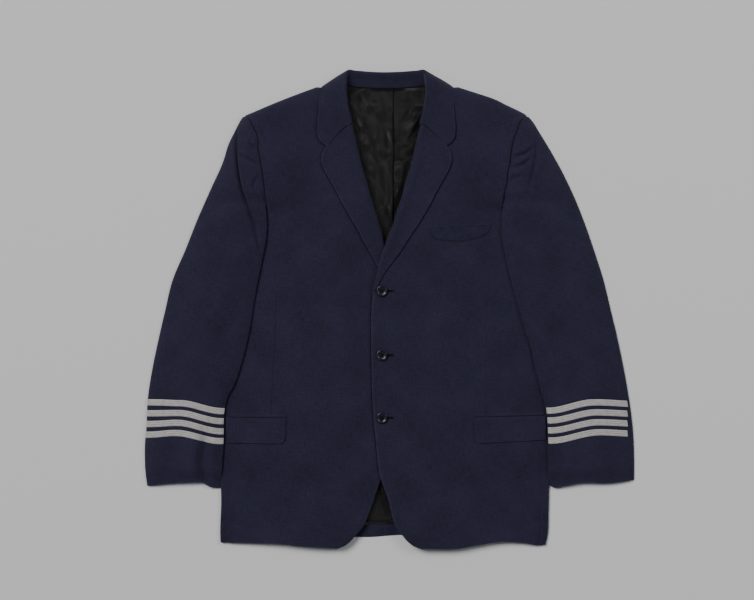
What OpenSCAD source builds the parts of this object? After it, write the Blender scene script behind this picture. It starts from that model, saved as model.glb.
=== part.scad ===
// A flight officer's uniform jacket, lying on its back on a flat surface, buttoned, sleeves at its sides.
// The surface is z = 0, +Y runs towards the collar, and "left" and "right" are the wearer's: left is +X.
// Side s is 1 for the wearer's left and -1 for the right.

/* [Cloth] */
// Thickness of the wool cloth
cloth = 1.2; // [1:0.1:1.4]
// Thickness of the satin lining
satin = 0.6; // [0.4:0.1:0.6]
// Thickness of the canvas interlining
canvas = 1; // [0.8:0.1:1]
// Free space between two plies of cloth
ply_gap = 0.5; // [0.4:0.1:0.5]

/* [Body] */
// Height of the front above the table at the middle of the chest
chest_height = 20; // [19.5:0.5:21]
// Height of the front above the table along the side fold
side_height = 7; // [6.5:0.5:7]
// Half the width at the underarm
chest_half = 246; // [244:1:248]
// Half the width at the waist
waist_half = 262; // [260:1:264]
// Half the width at the hem
hem_half = 288; // [287:1:290]
// How deep the right front tucks under the left one
tuck = 8.4; // [8.2:0.1:8.6]
// Extra height over the shoulder pads
pad_height = 5; // [4:0.5:5]

/* [Collar and lapels] */
// Height of the collar's fold at the centre back
collar_back_height = 22; // [21:0.5:23]
// Height of the collar's fold at the sides of the neck
collar_side_height = 28; // [27:0.5:29]
// How far the lapel rolls up along its fold
lapel_roll = 3; // [2:0.5:3.5]

/* [Buttons] */
// Diameter of a front button
button_d = 19.4; // [18:0.1:20]
// Thickness of a front button's rim
button_t = 3.4; // [3:0.1:4]
// Length of the thread shank between cloth and button
shank_gap = 1.4; // [1:0.1:2]
// Length of a buttonhole
buttonhole_l = 24; // [23:1:25]

/* [Sleeve stripes] */
// Width of one braid stripe
stripe_w = 11.7; // [11:0.1:13]
// Distance from one stripe to the next
stripe_pitch = 17.9; // [17:0.1:19.1]
// Number of stripes on each sleeve
stripe_count = 4; // [1:1:4]

/* [Pockets] */
// Height of a hip pocket's flap
flap_h = 45; // [40:1:50]
// Thickness of a flap's cloth
flap_t = 1.2; // [1:0.1:1.4]

/* [Hidden] */
$fn = 48;

NAVY = "#20233a";
BLACK = "#1b1b1d";
SILVER = "#b9b7b2";
HAIRCLOTH = "#b8a987";
THREAD = "#15161f";

// The centre-front line, where the buttons stand
centre_front = -7;
// Where the lapel's fold meets the front edge
break_y = 31;
// Where the armhole ends and the side fold begins
underarm_y = 168;
// The neck and tip ends of the shoulder seam
neck_point = [112, 390];
tip_point = [250, 337];
hem_y = -410;
back_hem_y = -398;
// How much the back neck is raised by the collar that lies under it
neck_lift = 5;
// How far a sleeve's inner edge is raised, to lie over the side of the body
sleeve_lift = 8.8;
// The side panel's share of the front and of the back
side_turn = 14;
// The low ridge of the pleat down the middle of the back lining
pleat_h = 1.4;
side_back = 60;
button_y = [31.5, -80.5, -190];
button_x = -5.5;
flap_y = -189;
front_stack = cloth + canvas + satin + 2 * ply_gap + 0.2;

// Half widths, each at a height y
side_table = [[hem_y, hem_half - 6], [-350, hem_half - 2], [-310, hem_half], [-150, hem_half - 7],
              [-60, waist_half + 8], [20, waist_half], [100, mix(waist_half, chest_half, 0.6)],
              [underarm_y, chest_half]];
lap_table = [[-419, -72], [-410, -52], [-395, -38], [-358, -22], [-328, -12], [-291, 2], [-234, 10],
             [-177, 17], [-83, 21], [0, 20], [break_y, 15]];
crease_table = [[break_y, -22], [52, -16], [84, -9.5], [109, -1.5], [140, 10], [167, 18.5], [195, 28],
                [226, 37], [247, 44], [279, 51], [319, 61], [338, 66.5], [367, 71], [391, 72]];
lapel_table = [[break_y, -20], [40, -15.5], [52, -9], [62, -3], [81, 9], [100, 22.5], [120, 36],
               [140, 49], [161, 63], [183, 77], [226, 101], [247, 112], [258, 115.5], [269, 115.5],
               [278, 111], [284, 105], [304, 87], [323, 61.5]];
// Each sleeve's inner and outer edge, left then right
sleeve_in_tables = [
    [[-312, 290], [-217, 284.5], [-170, 280], [-136, 272], [-66, 256], [-9, 239], [51, 222],
     [86, 212], [137, 203], [171, 204], [192, 207], [241, 213], [283, 222], [305, 227.5], [326, 236],
     [336, 245]],
    [[-312, 289], [-237, 283], [-171, 280], [-157, 277], [-136, 266], [-93, 251], [-50, 240],
     [33, 226], [86, 217], [146, 209.5], [178, 210.5], [218, 216], [277, 224.5], [298, 225.5],
     [310, 228.5], [324, 235], [336, 245]]];
sleeve_out_tables = [
    [[-312, 432], [-264, 432], [-212, 430], [-156, 424], [-107, 415], [-54, 404], [-2, 392],
     [51, 380], [103, 362], [156, 345], [208, 322], [261, 296], [287, 282], [324, 261], [336, 254]],
    [[-312, 418], [-264, 423], [-212, 422], [-156, 416], [-107, 409], [-54, 399], [-2, 388],
     [51, 374], [103, 352], [156, 331], [208, 308], [261, 284], [287, 275], [324, 259], [336, 253]]];
// Where each pocket flap begins and ends, left then right
flap_spans = [[157, 276], [174, 271.5]];
// The collar leaf, section by section from the notch to the centre back:
// a point of its fold, and the same section's point on its outer edge
collar_sections = [
    [[60, 324, 25], [104, 286, 23.7]],
    [[61, 329, 25.3], [113, 291, 23.7]],
    [[62, 334, 25.6], [119, 298, 23.7]],
    [[64, 340, 26], [122, 308, 23.8]],
    [[67, 352, 26.6], [121.5, 326, 23.6]],
    [[70, 370, collar_side_height - 0.6], [119.5, 350, 22]],
    [[71.5, 390, collar_side_height], [117, 372, 19]],
    [[70.5, 406, collar_side_height - 0.6], [115, 383, 15]],
    [[66, 418, collar_side_height - 3], [110, 390, 9]],
    [[52, 417, collar_back_height + 2], [95, 389, 3.6]],
    [[28, 415, collar_back_height + 0.6], [52, 377, 1.4]],
    [[0, 414, collar_back_height], [0, 371, 1.25]]];

function mix(a, b, t) = a + (b - a) * t;
function ease(a, b, t) = let (q = max(0, min(1, (t - a) / (b - a)))) q * q * (3 - 2 * q);
function arc_out(a, b, t) = let (q = max(0, min(1, (t - a) / (b - a)))) 1 - (1 - q) * (1 - q);
function side_index(s) = s > 0 ? 0 : 1;
// A table's value with its corners rounded over r millimetres
function soft(table, y, r = 9) = (lookup(y - r, table) + 2 * lookup(y, table) + lookup(y + r, table)) / 4;

function side_edge(y) = soft(side_table, y);
function arm_edge(s, y) = soft(sleeve_in_tables[side_index(s)], y);
function sleeve_edge(s, y) = soft(sleeve_out_tables[side_index(s)], y);
function shoulder_x(y) = mix(neck_point.x, tip_point.x, (neck_point.y - y) / (neck_point.y - tip_point.y));
// Distance from the shoulder seam, measured down into the body
function below_shoulder(x, y) = let (d = tip_point - neck_point, n = norm(d))
    ((abs(x) - neck_point.x) * d.y - (y - neck_point.y) * d.x) / n;

// The front edge below the lapel's break, and the lapel's fold above it
function fold_centre(y) = centre_front * (1 - ease(break_y, 150, y));
function front_edge(s, y) = y < break_y
    ? centre_front - s * lookup(y, lap_table)
    : fold_centre(y) + s * (lookup(y, crease_table) - fold_centre(y));
function lapel_edge(s, y) = fold_centre(y) + s * (lookup(y, lapel_table) - fold_centre(y));
function front_outer(s, y) = y < underarm_y + 1 ? side_edge(y) - side_turn - 0.4
    : y <= tip_point.y - 1 ? arm_edge(s, y) - 0.6 : shoulder_x(y);

// Height of the front's outer face. The right front tucks under the left one near the middle.
function tuck_at(s, x, y) = s > 0 ? 0 : tuck * ease(-80, -28, x) * (1 - ease(120, 190, y));
function pad_at(x, y) = pad_height * ease(120, 215, abs(x)) * ease(205, 290, y);
function front_z(s, x, y) =
    let (zone = mix(arm_edge(s, y) - 8, 400, ease(underarm_y + 2, 222, y)),
         crown = 1 - pow(min(1, abs(x) / zone), 2.5),
         open = side_height + (chest_height - side_height) * crown + pad_at(x, y) - tuck_at(s, x, y))
    mix(side_height + 1.5, open, arc_out(-6, 60, below_shoulder(x, y)));

// Height of the back lining's upper face
function back_z(x, y) = cloth + 0.3 + satin
    + (neck_lift + 0.5) * ease(322, 342, y) * (1 - ease(134, 150, abs(x)));

// A closed sheet between two grids of points. Rows run along +Y and columns along +X,
// or so that the columns' direction crossed with the rows' points out of the upper grid.
module skin(upper, lower) {
    rows = len(upper);
    cols = len(upper[0]);
    n = rows * cols;
    points = concat([for (r = upper) each r], [for (r = lower) each r]);
    function id(side, i, j) = side * n + i * cols + j;
    flats = [for (i = [0:rows - 2]) for (j = [0:cols - 2]) each [
        [id(0, i, j), id(0, i + 1, j), id(0, i + 1, j + 1)],
        [id(0, i, j), id(0, i + 1, j + 1), id(0, i, j + 1)],
        [id(1, i, j), id(1, i + 1, j + 1), id(1, i + 1, j)],
        [id(1, i, j), id(1, i, j + 1), id(1, i + 1, j + 1)]]];
    ends = [for (j = [0:cols - 2]) each [
        [id(0, 0, j), id(0, 0, j + 1), id(1, 0, j + 1)],
        [id(0, 0, j), id(1, 0, j + 1), id(1, 0, j)],
        [id(0, rows - 1, j + 1), id(0, rows - 1, j), id(1, rows - 1, j)],
        [id(0, rows - 1, j + 1), id(1, rows - 1, j), id(1, rows - 1, j + 1)]]];
    sides = [for (i = [0:rows - 2]) each [
        [id(0, i + 1, 0), id(0, i, 0), id(1, i, 0)],
        [id(0, i + 1, 0), id(1, i, 0), id(1, i + 1, 0)],
        [id(0, i, cols - 1), id(0, i + 1, cols - 1), id(1, i + 1, cols - 1)],
        [id(0, i, cols - 1), id(1, i + 1, cols - 1), id(1, i, cols - 1)]]];
    polyhedron(points, concat(flats, ends, sides), convexity = 8);
}

function lowered(grid, d) = [for (r = grid) [for (p = r) p - [0, 0, d]]];
function grid_normal(g, i, j) =
    let (rows = len(g), cols = len(g[0]),
         along = g[min(i + 1, rows - 1)][j] - g[max(i - 1, 0)][j],
         across = g[i][min(j + 1, cols - 1)] - g[i][max(j - 1, 0)],
         n = cross(across, along))
    n / norm(n);
// The grid moved d inwards, square to itself
function inset(g, d) = [for (i = [0:len(g) - 1]) [for (j = [0:len(g[0]) - 1])
    g[i][j] - d * grid_normal(g, i, j)]];
// Column j of n as a share from 0 to 1, always in the direction of +X
function share(s, j, n) = s > 0 ? j / n : 1 - j / n;

module plate(outline, z, t) {
    translate([0, 0, z])
        linear_extrude(t)
            polygon(outline);
}

// ---- Back and sides

module back_panel(s) {
    inside = 0.1;
    lower_side = [for (y = [back_hem_y, -350, -310, -230, -150, -60, 20, 100, underarm_y])
        [side_edge(y) - side_back - 0.3, y]];
    armhole = [for (y = [underarm_y + 0.5, 192, 218, 241, 264, 283, 305, 320, 331])
        [arm_edge(s, y) - 0.6, y]];
    shoulder = [tip_point.x - 8, tip_point.y + 2.6];
    yoke_x = 116;
    yoke_y = 345;
    neck_y = 391;
    step = 5;
    yoke_top = neck_point.y - 1.6;
    main = concat([[inside, back_hem_y]], lower_side, armhole,
        [shoulder, [yoke_x, yoke_top], [yoke_x, yoke_y + step], [inside, yoke_y + step]]);
    // The yoke leaves the corner free where the collar turns under the neck
    yoke = [[inside, yoke_y], [yoke_x, yoke_y], [yoke_x, 372], [102, 374], [88, 380], [58, 385],
            [54, neck_y], [inside, neck_y]];
    riser = [[inside, yoke_y], [yoke_x, yoke_y], [yoke_x, 372], [yoke_x - step, 372],
             [yoke_x - step, yoke_y + step], [inside, yoke_y + step]];
    // The shoulder seam's allowance stands up to meet the front
    seam = [shoulder, [yoke_x, yoke_top], [yoke_x, yoke_top - 1.6], shoulder - [0, 1.6]];
    color(NAVY) mirror([s > 0 ? 0 : 1, 0, 0]) union() {
        plate(main, 0, cloth);
        plate(yoke, neck_lift, cloth);
        plate(riser, 0, neck_lift + cloth);
        plate(seam, 0, side_height + 1);
    }
}

module side_panel(s) {
    ys = [hem_y, -350, -310, -230, -150, -60, 20, 100, underarm_y];
    function strip(width, low = hem_y) = concat(
        [for (y = ys) [side_edge(y), max(y, low)]],
        [for (k = [len(ys) - 1:-1:0]) [side_edge(ys[k]) - width, max(ys[k], low)]]);
    color(NAVY) mirror([s > 0 ? 0 : 1, 0, 0]) union() {
        plate(strip(side_back, back_hem_y), 0, cloth);
        plate(strip(cloth, back_hem_y), 0, side_height);
        plate(strip(side_turn), side_height - cloth, cloth);
    }
}

module back_lining() {
    ys = [-371, -300, -200, -100, 0, 80, 165, 172, 220, 270, 318, 326, 334, 342, 352, 361, 370, 376, 382, 389.5];
    function pleat(x) = pleat_h * max(0, 1 - abs(x - 5) / 7);
    shares = [1, 0.84, 0.66, 0.6, 0.54, 0.4, 0.2, 0.04];
    function edge(s, y) = y < 170 ? side_edge(y) - 18 : y < 330 ? arm_edge(s, y) - 4
        : min(arm_edge(s, 330) - 4, shoulder_x(y + 4));
    top = [for (y = ys) concat(
        [for (u = shares) let (x = mix(-4, -edge(-1, y), u)) [x, y, back_z(x, y)]],
        [for (x = [-2, 5, 12]) [x, y, back_z(x, y) + pleat(x)]],
        [for (k = [len(shares) - 1:-1:0]) let (x = mix(14, edge(1, y), shares[k])) [x, y, back_z(x, y)]])];
    color(BLACK) skin(top, lowered(top, satin));
}

// ---- Fronts

front_rows = [-419, -413, -402, -385, -358, -328, -291, -234, -190, -140, -83, -30, break_y, 60, 84,
              109, 124, 140, 156, 168.4, 169.6, 186, 202, 218, 240, 262, 287, 308, 324, 333, 335.6, 350, 366,
              380];
front_shares = [0, 0.05, 0.1, 0.15, 0.2, 0.25, 0.3, 0.4, 0.54, 0.68, 0.82, 0.92, 1];
canvas_shares = [0.02, 0.05, 0.1, 0.15, 0.2, 0.25, 0.3, 0.4, 0.5, 0.6, 0.72];
// The hem rises from the rounded corner towards the side
function hem_drop(u, y) = y < -400 ? (hem_y - y) * ease(0.25, 0.85, u) * 0.8 : 0;
function front_point(s, u, y, drop) =
    let (x = mix(front_edge(s, y), s * front_outer(s, y), u), yy = y + hem_drop(u, y))
    [x, yy, front_z(s, x, yy) - drop];
function front_grid(s, drop, rows = front_rows, us = front_shares) = let (n = len(us) - 1)
    [for (y = rows) [for (j = [0:n]) front_point(s, us[s > 0 ? j : n - j], y, drop)]];

// The slots that the button shanks pass through, in the left front only
module buttonhole_slots(width) {
    for (y = button_y)
        translate([button_x - 3, y - width / 2, 0])
            cube([buttonhole_l - 4, width, 40]);
}

module front_panel(s) {
    top = front_grid(s, 0);
    color(NAVY) difference() {
        skin(top, lowered(top, cloth));
        if (s > 0) buttonhole_slots(4.4);
    }
}

// A strip of the front's cloth turned back inside along the edge
module front_facing(s) {
    facing_w = 72;
    drop = cloth + canvas + 2 * ply_gap;
    rows = [for (y = front_rows) if (y > -414 && y < 370) y];
    cols = 7;
    top = [for (y = rows) [for (j = [0:cols]) let (
        u = share(s, j, cols),
        inner = front_edge(s, y) + s * 1.5,
        x = inner + s * u * min(facing_w, abs(s * front_outer(s, y) - inner) - 3))
        [x, y, front_z(s, x, y) - drop]]];
    color(NAVY) difference() {
        skin(top, lowered(top, satin));
        if (s > 0) buttonhole_slots(4.4);
    }
}

module chest_canvas(s) {
    drop = cloth + ply_gap;
    top = front_grid(s, drop, [for (y = front_rows) if (y > -120 && y < 365) y], canvas_shares);
    color(HAIRCLOTH) difference() {
        skin(top, lowered(top, canvas));
        if (s > 0) buttonhole_slots(4.4);
    }
}

// The pad lies between canvas and lining, thickest at the tip of the shoulder
function pad_thick(x, y) = 1.2 + 5 * ease(130, 225, abs(x)) * ease(225, 300, y) * (1 - 0.5 * ease(315, 345, y));
module shoulder_pad(s) {
    drop = cloth + canvas + 2 * ply_gap;
    rows = [240, 262, 285, 305, 322, 333];
    cols = 5;
    top = [for (y = rows) [for (j = [0:cols]) let (
        x = s * mix(128 + (y - 240) * 0.1, front_outer(s, y) - 5, share(s, j, cols)))
        [x, y, front_z(s, x, y) - drop]]];
    bottom = [for (r = top) [for (p = r) p - [0, 0, pad_thick(p.x, p.y)]]];
    color(HAIRCLOTH) skin(top, bottom);
}

module front_lining(s) {
    drop = front_stack;
    facing_w = 76;
    rows = [for (y = front_rows) if (y > -395 && y < 365) y];
    cols = 6;
    top = [for (y = rows) [for (j = [0:cols]) let (
        u = share(s, j, cols),
        x = mix(front_edge(s, y) + s * facing_w, s * (front_outer(s, y) - 6), u),
        under_pad = ease(100, 128, abs(x)) * ease(215, 238, y) * (pad_thick(x, y) + ply_gap))
        [x, y, front_z(s, x, y) - drop - under_pad]]];
    color(BLACK) skin(top, lowered(top, satin));
}

// A jetted breast pocket in the lining: two lips and the pouch's mouth
module inner_pocket(s) {
    color(BLACK) for (k = [0, 1]) {
        y = 118 - 6 * k;
        top = [for (yy = [y, y + 5]) [for (j = [0:3]) let (x = s * mix(84, 158, share(s, j, 3)))
            [x, yy, front_z(s, x, yy) - front_stack - satin - 0.4]]];
        skin(top, lowered(top, 0.8));
    }
}

// ---- Lapels and collar

module lapel(s) {
    rows = [32, 40, 52, 66, 81, 100, 120, 140, 161, 183, 205, 226, 240, 250, 260, 270, 278, 284, 294, 304, 314, 321];
    cols = 5;
    thick = 2 * cloth;
    top = [for (y = rows) [for (j = [0:cols]) let (
        u = share(s, j, cols),
        x = mix(front_edge(s, y) + s * 0.3, lapel_edge(s, y), u),
        roll = lapel_roll * (1 - ease(0, 0.55, u)) * ease(60, 150, y))
        [x, y, front_z(s, x, y) + ply_gap + thick + roll]]];
    color(NAVY) skin(top, lowered(top, thick));
}

// One section of the collar leaf: it rolls over the front, and drops steeply behind the neck
collar_steps = 5;
function collar_leaf_row(s, k) =
    let (section = collar_sections[k], a = section[0], b = section[1],
         behind = ease(7, 9.5, k),
         knee = mix(mix(a, b, 0.4) + [0, 0, 3.2], [mix(a.x, b.x, 0.05), a.y + 7, 1], behind))
    [for (i = [collar_steps:-1:0]) let (t = i / collar_steps,
        p = (1 - t) * (1 - t) * a + 2 * t * (1 - t) * knee + t * t * b)
        [s * p.x, p.y, p.z]];
last_section = len(collar_sections) - 1;
// From the right notch round the neck to the left notch
function collar_grid() = concat(
    [for (k = [0:last_section]) collar_leaf_row(-1, k)],
    [for (k = [last_section - 1:-1:0]) collar_leaf_row(1, k)]);

module top_collar() {
    outer = collar_grid();
    color(NAVY) skin(outer, inset(outer, cloth));
}

module under_collar() {
    whole = inset(collar_grid(), cloth + 0.15);
    rows = len(whole);
    trimmed = [for (i = [2:rows - 3]) [for (j = [0:collar_steps - 1]) whole[i][j]
        + (j == 0 ? (whole[i][1] - whole[i][0]) * 0.1 : [0, 0, 0])]];
    color(NAVY) skin(trimmed, inset(trimmed, 0.9));
}

// The inner band that rises from the neck seam to the collar's fold
module collar_stand() {
    foot_z = neck_lift + cloth + 1.5;
    xs = [-63, -54, -40, -20, 0, 20, 40, 54, 63];
    top = [for (v = [0, 0.35, 0.7, 1]) [for (x = xs) let (
        e = pow(abs(x) / 63, 3),
        y = mix(391.8, 411.5 + 2 * e, v),
        z = mix(foot_z + cloth, collar_back_height - 1.6 + 2.2 * e, v * v * 0.45 + v * 0.55))
        [x, y, z]]];
    color(NAVY) skin(top, lowered(top, cloth));
}

// ---- Trim on the fronts

// The stitched patch on the left breast that backs a pair of wings
module wings_patch() {
    xs = [77, 84, 95, 110, 127, 142, 158, 172, 184];
    function low(x) = lookup(x, [[77, 140], [84, 126], [95, 121], [127, 118], [142, 120], [158, 124.5],
                                 [172, 130], [184, 147]]);
    function high(x) = 142.5 + (x - 77) * 0.062;
    top = [for (v = [0, 0.5, 1]) [for (x = xs) let (y = mix(low(x), high(x), v))
        [x, y, front_z(1, x, y) + 1.1]]];
    color(NAVY) skin(top, lowered(top, 0.8));
}

// The welt along the mouth of a hip pocket, just above its flap
module pocket_welt(s) {
    span = flap_spans[side_index(s)];
    top = [for (y = [flap_y + 1, flap_y + 6]) [for (j = [0:6]) let (
        x = s * mix(span[0] - 1, span[1] - 4, share(s, j, 6)))
        [x, y, front_z(s, x, y) + 1.1]]];
    color(NAVY) skin(top, lowered(top, 0.8));
}

// The pouch behind a hip pocket, two plies that hang between front and lining
module pocket_bag(s) {
    span = flap_spans[side_index(s)];
    drops = [cloth + 0.35, cloth + 0.35 + 0.4 + 0.35];
    color(BLACK) for (drop = drops) {
        top = [for (y = [-352, -310, -250, flap_y + 2]) [for (j = [0:4]) let (
            x = s * mix(span[0] + 4, span[1] - 26, share(s, j, 4)))
            [x, y, front_z(s, x, y) - drop]]];
        skin(top, lowered(top, 0.4));
    }
}

module flap_ply(s, base, t, margin) {
    span = flap_spans[side_index(s)];
    corner = 9;
    // The lower corner at the front end is rounded
    function low(x) = let (d = abs(x) - span[0] - margin)
        flap_y - flap_h + margin + (d < corner ? corner - sqrt(max(0, corner * corner - pow(corner - d, 2))) : 0);
    cuts = [0, 0.015, 0.05, 0.1, 0.3, 0.5, 0.7, 0.85, 1];
    n = len(cuts) - 1;
    top = [for (v = [0, 0.4, 0.8, 1]) [for (j = [0:n]) let (
        x = s * mix(span[0] + margin, span[1] - margin, cuts[s > 0 ? j : n - j]),
        y = mix(low(x), flap_y, v))
        [x, y, front_z(s, x, y) + base + t]]];
    skin(top, lowered(top, t));
}
module flap_lining(s) {
    color(BLACK) flap_ply(s, 0.4, satin, 1.5);
}
module pocket_flap(s) {
    color(NAVY) flap_ply(s, 0.4 + satin + 0.1, flap_t, 0);
}

// ---- Buttons

function button_z(y) = front_z(1, button_x, y) + shank_gap;

module front_button(k) {
    hole_r = 1.1;
    hole_pitch = 3.4;
    dish_r = 5.6;
    rim_r = button_d / 2;
    profile = [[0, 0], [rim_r - 2, 0], [rim_r, 1.3], [rim_r, button_t - 1.2], [rim_r - 0.9, button_t],
               [dish_r + 1.4, button_t], [dish_r, button_t - 1.1], [0, button_t - 1.1]];
    color(BLACK) translate([button_x, button_y[k], button_z(button_y[k])]) difference() {
        rotate_extrude($fn = 64) polygon(profile);
        for (sx = [-1, 1], sy = [-1, 1])
            translate([sx * hole_pitch / 2, sy * hole_pitch / 2, -1])
                cylinder(r = hole_r, h = button_t + 2);
    }
}

// Thread through the four holes, crossed on top, and the wound shank below
module button_thread(k) {
    y = button_y[k];
    pitch = 3.4;
    foot = front_z(-1, button_x, y) + 0.3;
    color(THREAD) translate([button_x, y, 0]) union() {
        translate([0, 0, foot])
            cylinder(r = 1.6, h = button_z(y) - 0.1 - foot);
        translate([0, 0, button_z(y) - 0.6])
            cylinder(r = 3.4, h = 0.5);
        for (a = [45, 135]) rotate([0, 0, a])
            translate([-pitch * 0.72, -0.5, button_z(y) + button_t - 1])
                cube([pitch * 1.44, 1, 0.9]);
        for (sx = [-1, 1], sy = [-1, 1])
            translate([sx * pitch / 2, sy * pitch / 2, button_z(y) - 0.5])
                cylinder(r = 0.8, h = button_t - 0.1);
    }
}

// The worked edge round each buttonhole
module buttonholes() {
    rim = 1.5;
    slot = 4.4;
    color(THREAD) for (y = button_y)
        translate([button_x - 3, y, front_z(1, button_x + 8, y) + 0.25])
            difference() {
                translate([-rim, -slot / 2 - rim, 0]) cube([buttonhole_l - 4 + 2 * rim, slot + 2 * rim, 0.4]);
                translate([0, -slot / 2, -1]) cube([buttonhole_l - 4, slot, 3]);
            }
}

// A loop of tape at the back neck, sewn down at both ends
module hanger_loop() {
    tape = 2.2;
    half = 30;
    sag = 8;
    z = back_z(0, 380) + pleat_h + 0.3;
    function drop(x) = sag * (1 - pow(abs(x) / half, 4));
    xs = [for (k = [-8:8]) half * k / 8];
    centre = [for (x = xs) [x, 389.8 - drop(x)]];
    color(BLACK) translate([0, 0, z]) linear_extrude(1)
        polygon(concat([for (p = centre) p + [0, 0]],
            [for (k = [len(centre) - 1:-1:0]) centre[k] + [0, -tape - (abs(xs[k]) > half * 0.8 ? 1.2 : 0)]]));
}

// ---- Sleeves

sleeve_rows = [-308, -290, -276, -256, -236, -216, -196, -176, -156, -132, -107, -54, -2, 51, 103, 145, 160,
               172, 186, 202, 218, 240, 262, 287, 308, 324, 333];
sleeve_shares = [0, 0.04, 0.12, 0.24, 0.4, 0.58, 0.76, 0.9, 0.97, 1];
sleeve_cols = len(sleeve_shares) - 1;
function sleeve_share(s, j) = sleeve_shares[s > 0 ? j : sleeve_cols - j];
function sleeve_x(s, u, y) = mix(arm_edge(s, y), sleeve_edge(s, y), u);
// Below the armhole the sleeve is a closed tube whose inner edge lies on the body.
// Above it, its inner edge is the seam: level with the front on top and with the back below.
function closed_at(y) = 1 - ease(174, 206, y);
// It comes down to the table outside the body's side, and at the cuff
function sleeve_under_z(s, u, y) = let (x = sleeve_x(s, u, y), side = side_edge(y))
    0.2 + (sleeve_lift - 0.2) * (1 - ease(side + 4, side + 48, x)) * closed_at(y) * ease(-308, -276, y);
function sleeve_crown(y) = lookup(y, [[-308, 9], [-156, 11], [0, 13], [150, 12], [250, 9], [333, 1]]);
function sleeve_seam_z(s, y) = mix(front_z(s, s * (arm_edge(s, y) - 1), y),
    sleeve_under_z(s, 0, y) + 2 * cloth + 0.25, closed_at(y));
function sleeve_top_z(s, u, y) =
    let (outer = sleeve_under_z(s, 1, y) + 2 * cloth + 0.25)
    mix(sleeve_seam_z(s, y), outer, pow(u, 1.3)) + sleeve_crown(y) * (1 - pow(abs(2 * u - 1), 2.6));
function sleeve_point(s, u, y, z) = [s * sleeve_x(s, u, y), y, z];

module sleeve_upper(s) {
    top = [for (y = sleeve_rows) [for (j = [0:sleeve_cols]) let (u = sleeve_share(s, j))
        sleeve_point(s, u, y, sleeve_top_z(s, u, y))]];
    color(NAVY) skin(top, lowered(top, cloth));
}

module sleeve_under(s) {
    top = [for (y = sleeve_rows) [for (j = [0:sleeve_cols]) let (u = sleeve_share(s, j))
        sleeve_point(s, u, y, sleeve_under_z(s, u, y) + cloth)]];
    color(NAVY) skin(top, lowered(top, cloth));
}

// Two plies of satin inside the sleeve, from the armhole to just above the cuff's edge
module sleeve_lining(s) {
    rows = [for (y = sleeve_rows) if (y > -300 && y < 180) y];
    us = [0.16, 0.24, 0.4, 0.58, 0.76, 0.86];
    n = len(us) - 1;
    function ply(z_of) = [for (y = rows) [for (j = [0:n]) let (u = us[s > 0 ? j : n - j])
        sleeve_point(s, u, y, z_of(u, y))]];
    upper = ply(function(u, y) sleeve_top_z(s, u, y) - cloth - 0.5);
    under = ply(function(u, y) sleeve_under_z(s, u, y) + cloth + 0.5 + satin);
    color(BLACK) {
        skin(upper, lowered(upper, satin));
        skin(under, lowered(under, satin));
    }
}

// The roll of wadding that fills the sleeve's head, just outside the armhole seam
module sleeve_head(s) {
    rows = [190, 212, 240, 262, 287, 305];
    cols = 2;
    top = [for (y = rows) [for (j = [0:cols]) let (u = mix(0.05, 0.3, share(s, j, cols)))
        sleeve_point(s, u, y, sleeve_top_z(s, u, y) - cloth - 0.6)]];
    color(HAIRCLOTH) skin(top, lowered(top, 2.6));
}

// Braid stripe k, counted from the top. It dips where the sleeve's inner side turns down.
function stripe_y(s, k, u) = -163.5 - (k - 1) * stripe_pitch - 14 * (1 - ease(0.06, 0.5, u));
module sleeve_stripe(s, k) {
    last = s > 0 ? 0.955 : 0.99;
    us = [for (u = sleeve_shares) min(max(u, 0.01), last)];
    n = sleeve_cols - 1;
    top = [for (v = [-0.5, 0.5]) [for (j = [0:n]) let (
        u = us[s > 0 ? j : n - j],
        y = stripe_y(s, k, u) + v * stripe_w)
        sleeve_point(s, u, y, sleeve_top_z(s, u, y) + 1.3)]];
    color(SILVER) skin(top, lowered(top, 0.9));
}

back_panel(1);  // back_panel_left
back_panel(-1);  // back_panel_right
side_panel(1);  // side_panel_left
side_panel(-1);  // side_panel_right
back_lining();
front_panel(1);  // front_panel_left
front_panel(-1);  // front_panel_right
front_facing(1);  // front_facing_left
front_facing(-1);  // front_facing_right
chest_canvas(1);  // chest_canvas_left
chest_canvas(-1);  // chest_canvas_right
shoulder_pad(1);  // shoulder_pad_left
shoulder_pad(-1);  // shoulder_pad_right
front_lining(1);  // front_lining_left
front_lining(-1);  // front_lining_right
inner_pocket(1);  // inner_pocket_left
inner_pocket(-1);  // inner_pocket_right
lapel(1);  // lapel_left
lapel(-1);  // lapel_right
top_collar();
under_collar();
collar_stand();
wings_patch();
pocket_welt(1);  // pocket_welt_left
pocket_welt(-1);  // pocket_welt_right
pocket_bag(1);  // pocket_bag_left
pocket_bag(-1);  // pocket_bag_right
pocket_flap(1);  // pocket_flap_left
pocket_flap(-1);  // pocket_flap_right
flap_lining(1);  // flap_lining_left
flap_lining(-1);  // flap_lining_right
buttonholes();
hanger_loop();
front_button(0);  // front_button_top
front_button(1);  // front_button_middle
front_button(2);  // front_button_bottom
button_thread(0);  // button_thread_top
button_thread(1);  // button_thread_middle
button_thread(2);  // button_thread_bottom
sleeve_upper(1);  // sleeve_upper_left
sleeve_upper(-1);  // sleeve_upper_right
sleeve_under(1);  // sleeve_under_left
sleeve_under(-1);  // sleeve_under_right
sleeve_lining(1);  // sleeve_lining_left
sleeve_lining(-1);  // sleeve_lining_right
sleeve_head(1);  // sleeve_head_left
sleeve_head(-1);  // sleeve_head_right
for (k = [1:stripe_count]) {
    sleeve_stripe(1, k);
    sleeve_stripe(-1, k);
}
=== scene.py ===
"""The cloth of a flight officer's uniform jacket, laid on its back, buttoned, around its CAD frame.

Shapes are worked out in millimetres, in the frame's axes: +X is the wearer's left, +Y the collar, +Z up.
Each half is built on its own side, where x grows outwards, and is mirrored if it is the right one.
A piece of cloth is a closed sheet with rounded edges, made by sheet() from the grid of points in its middle.
"""
import math

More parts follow.
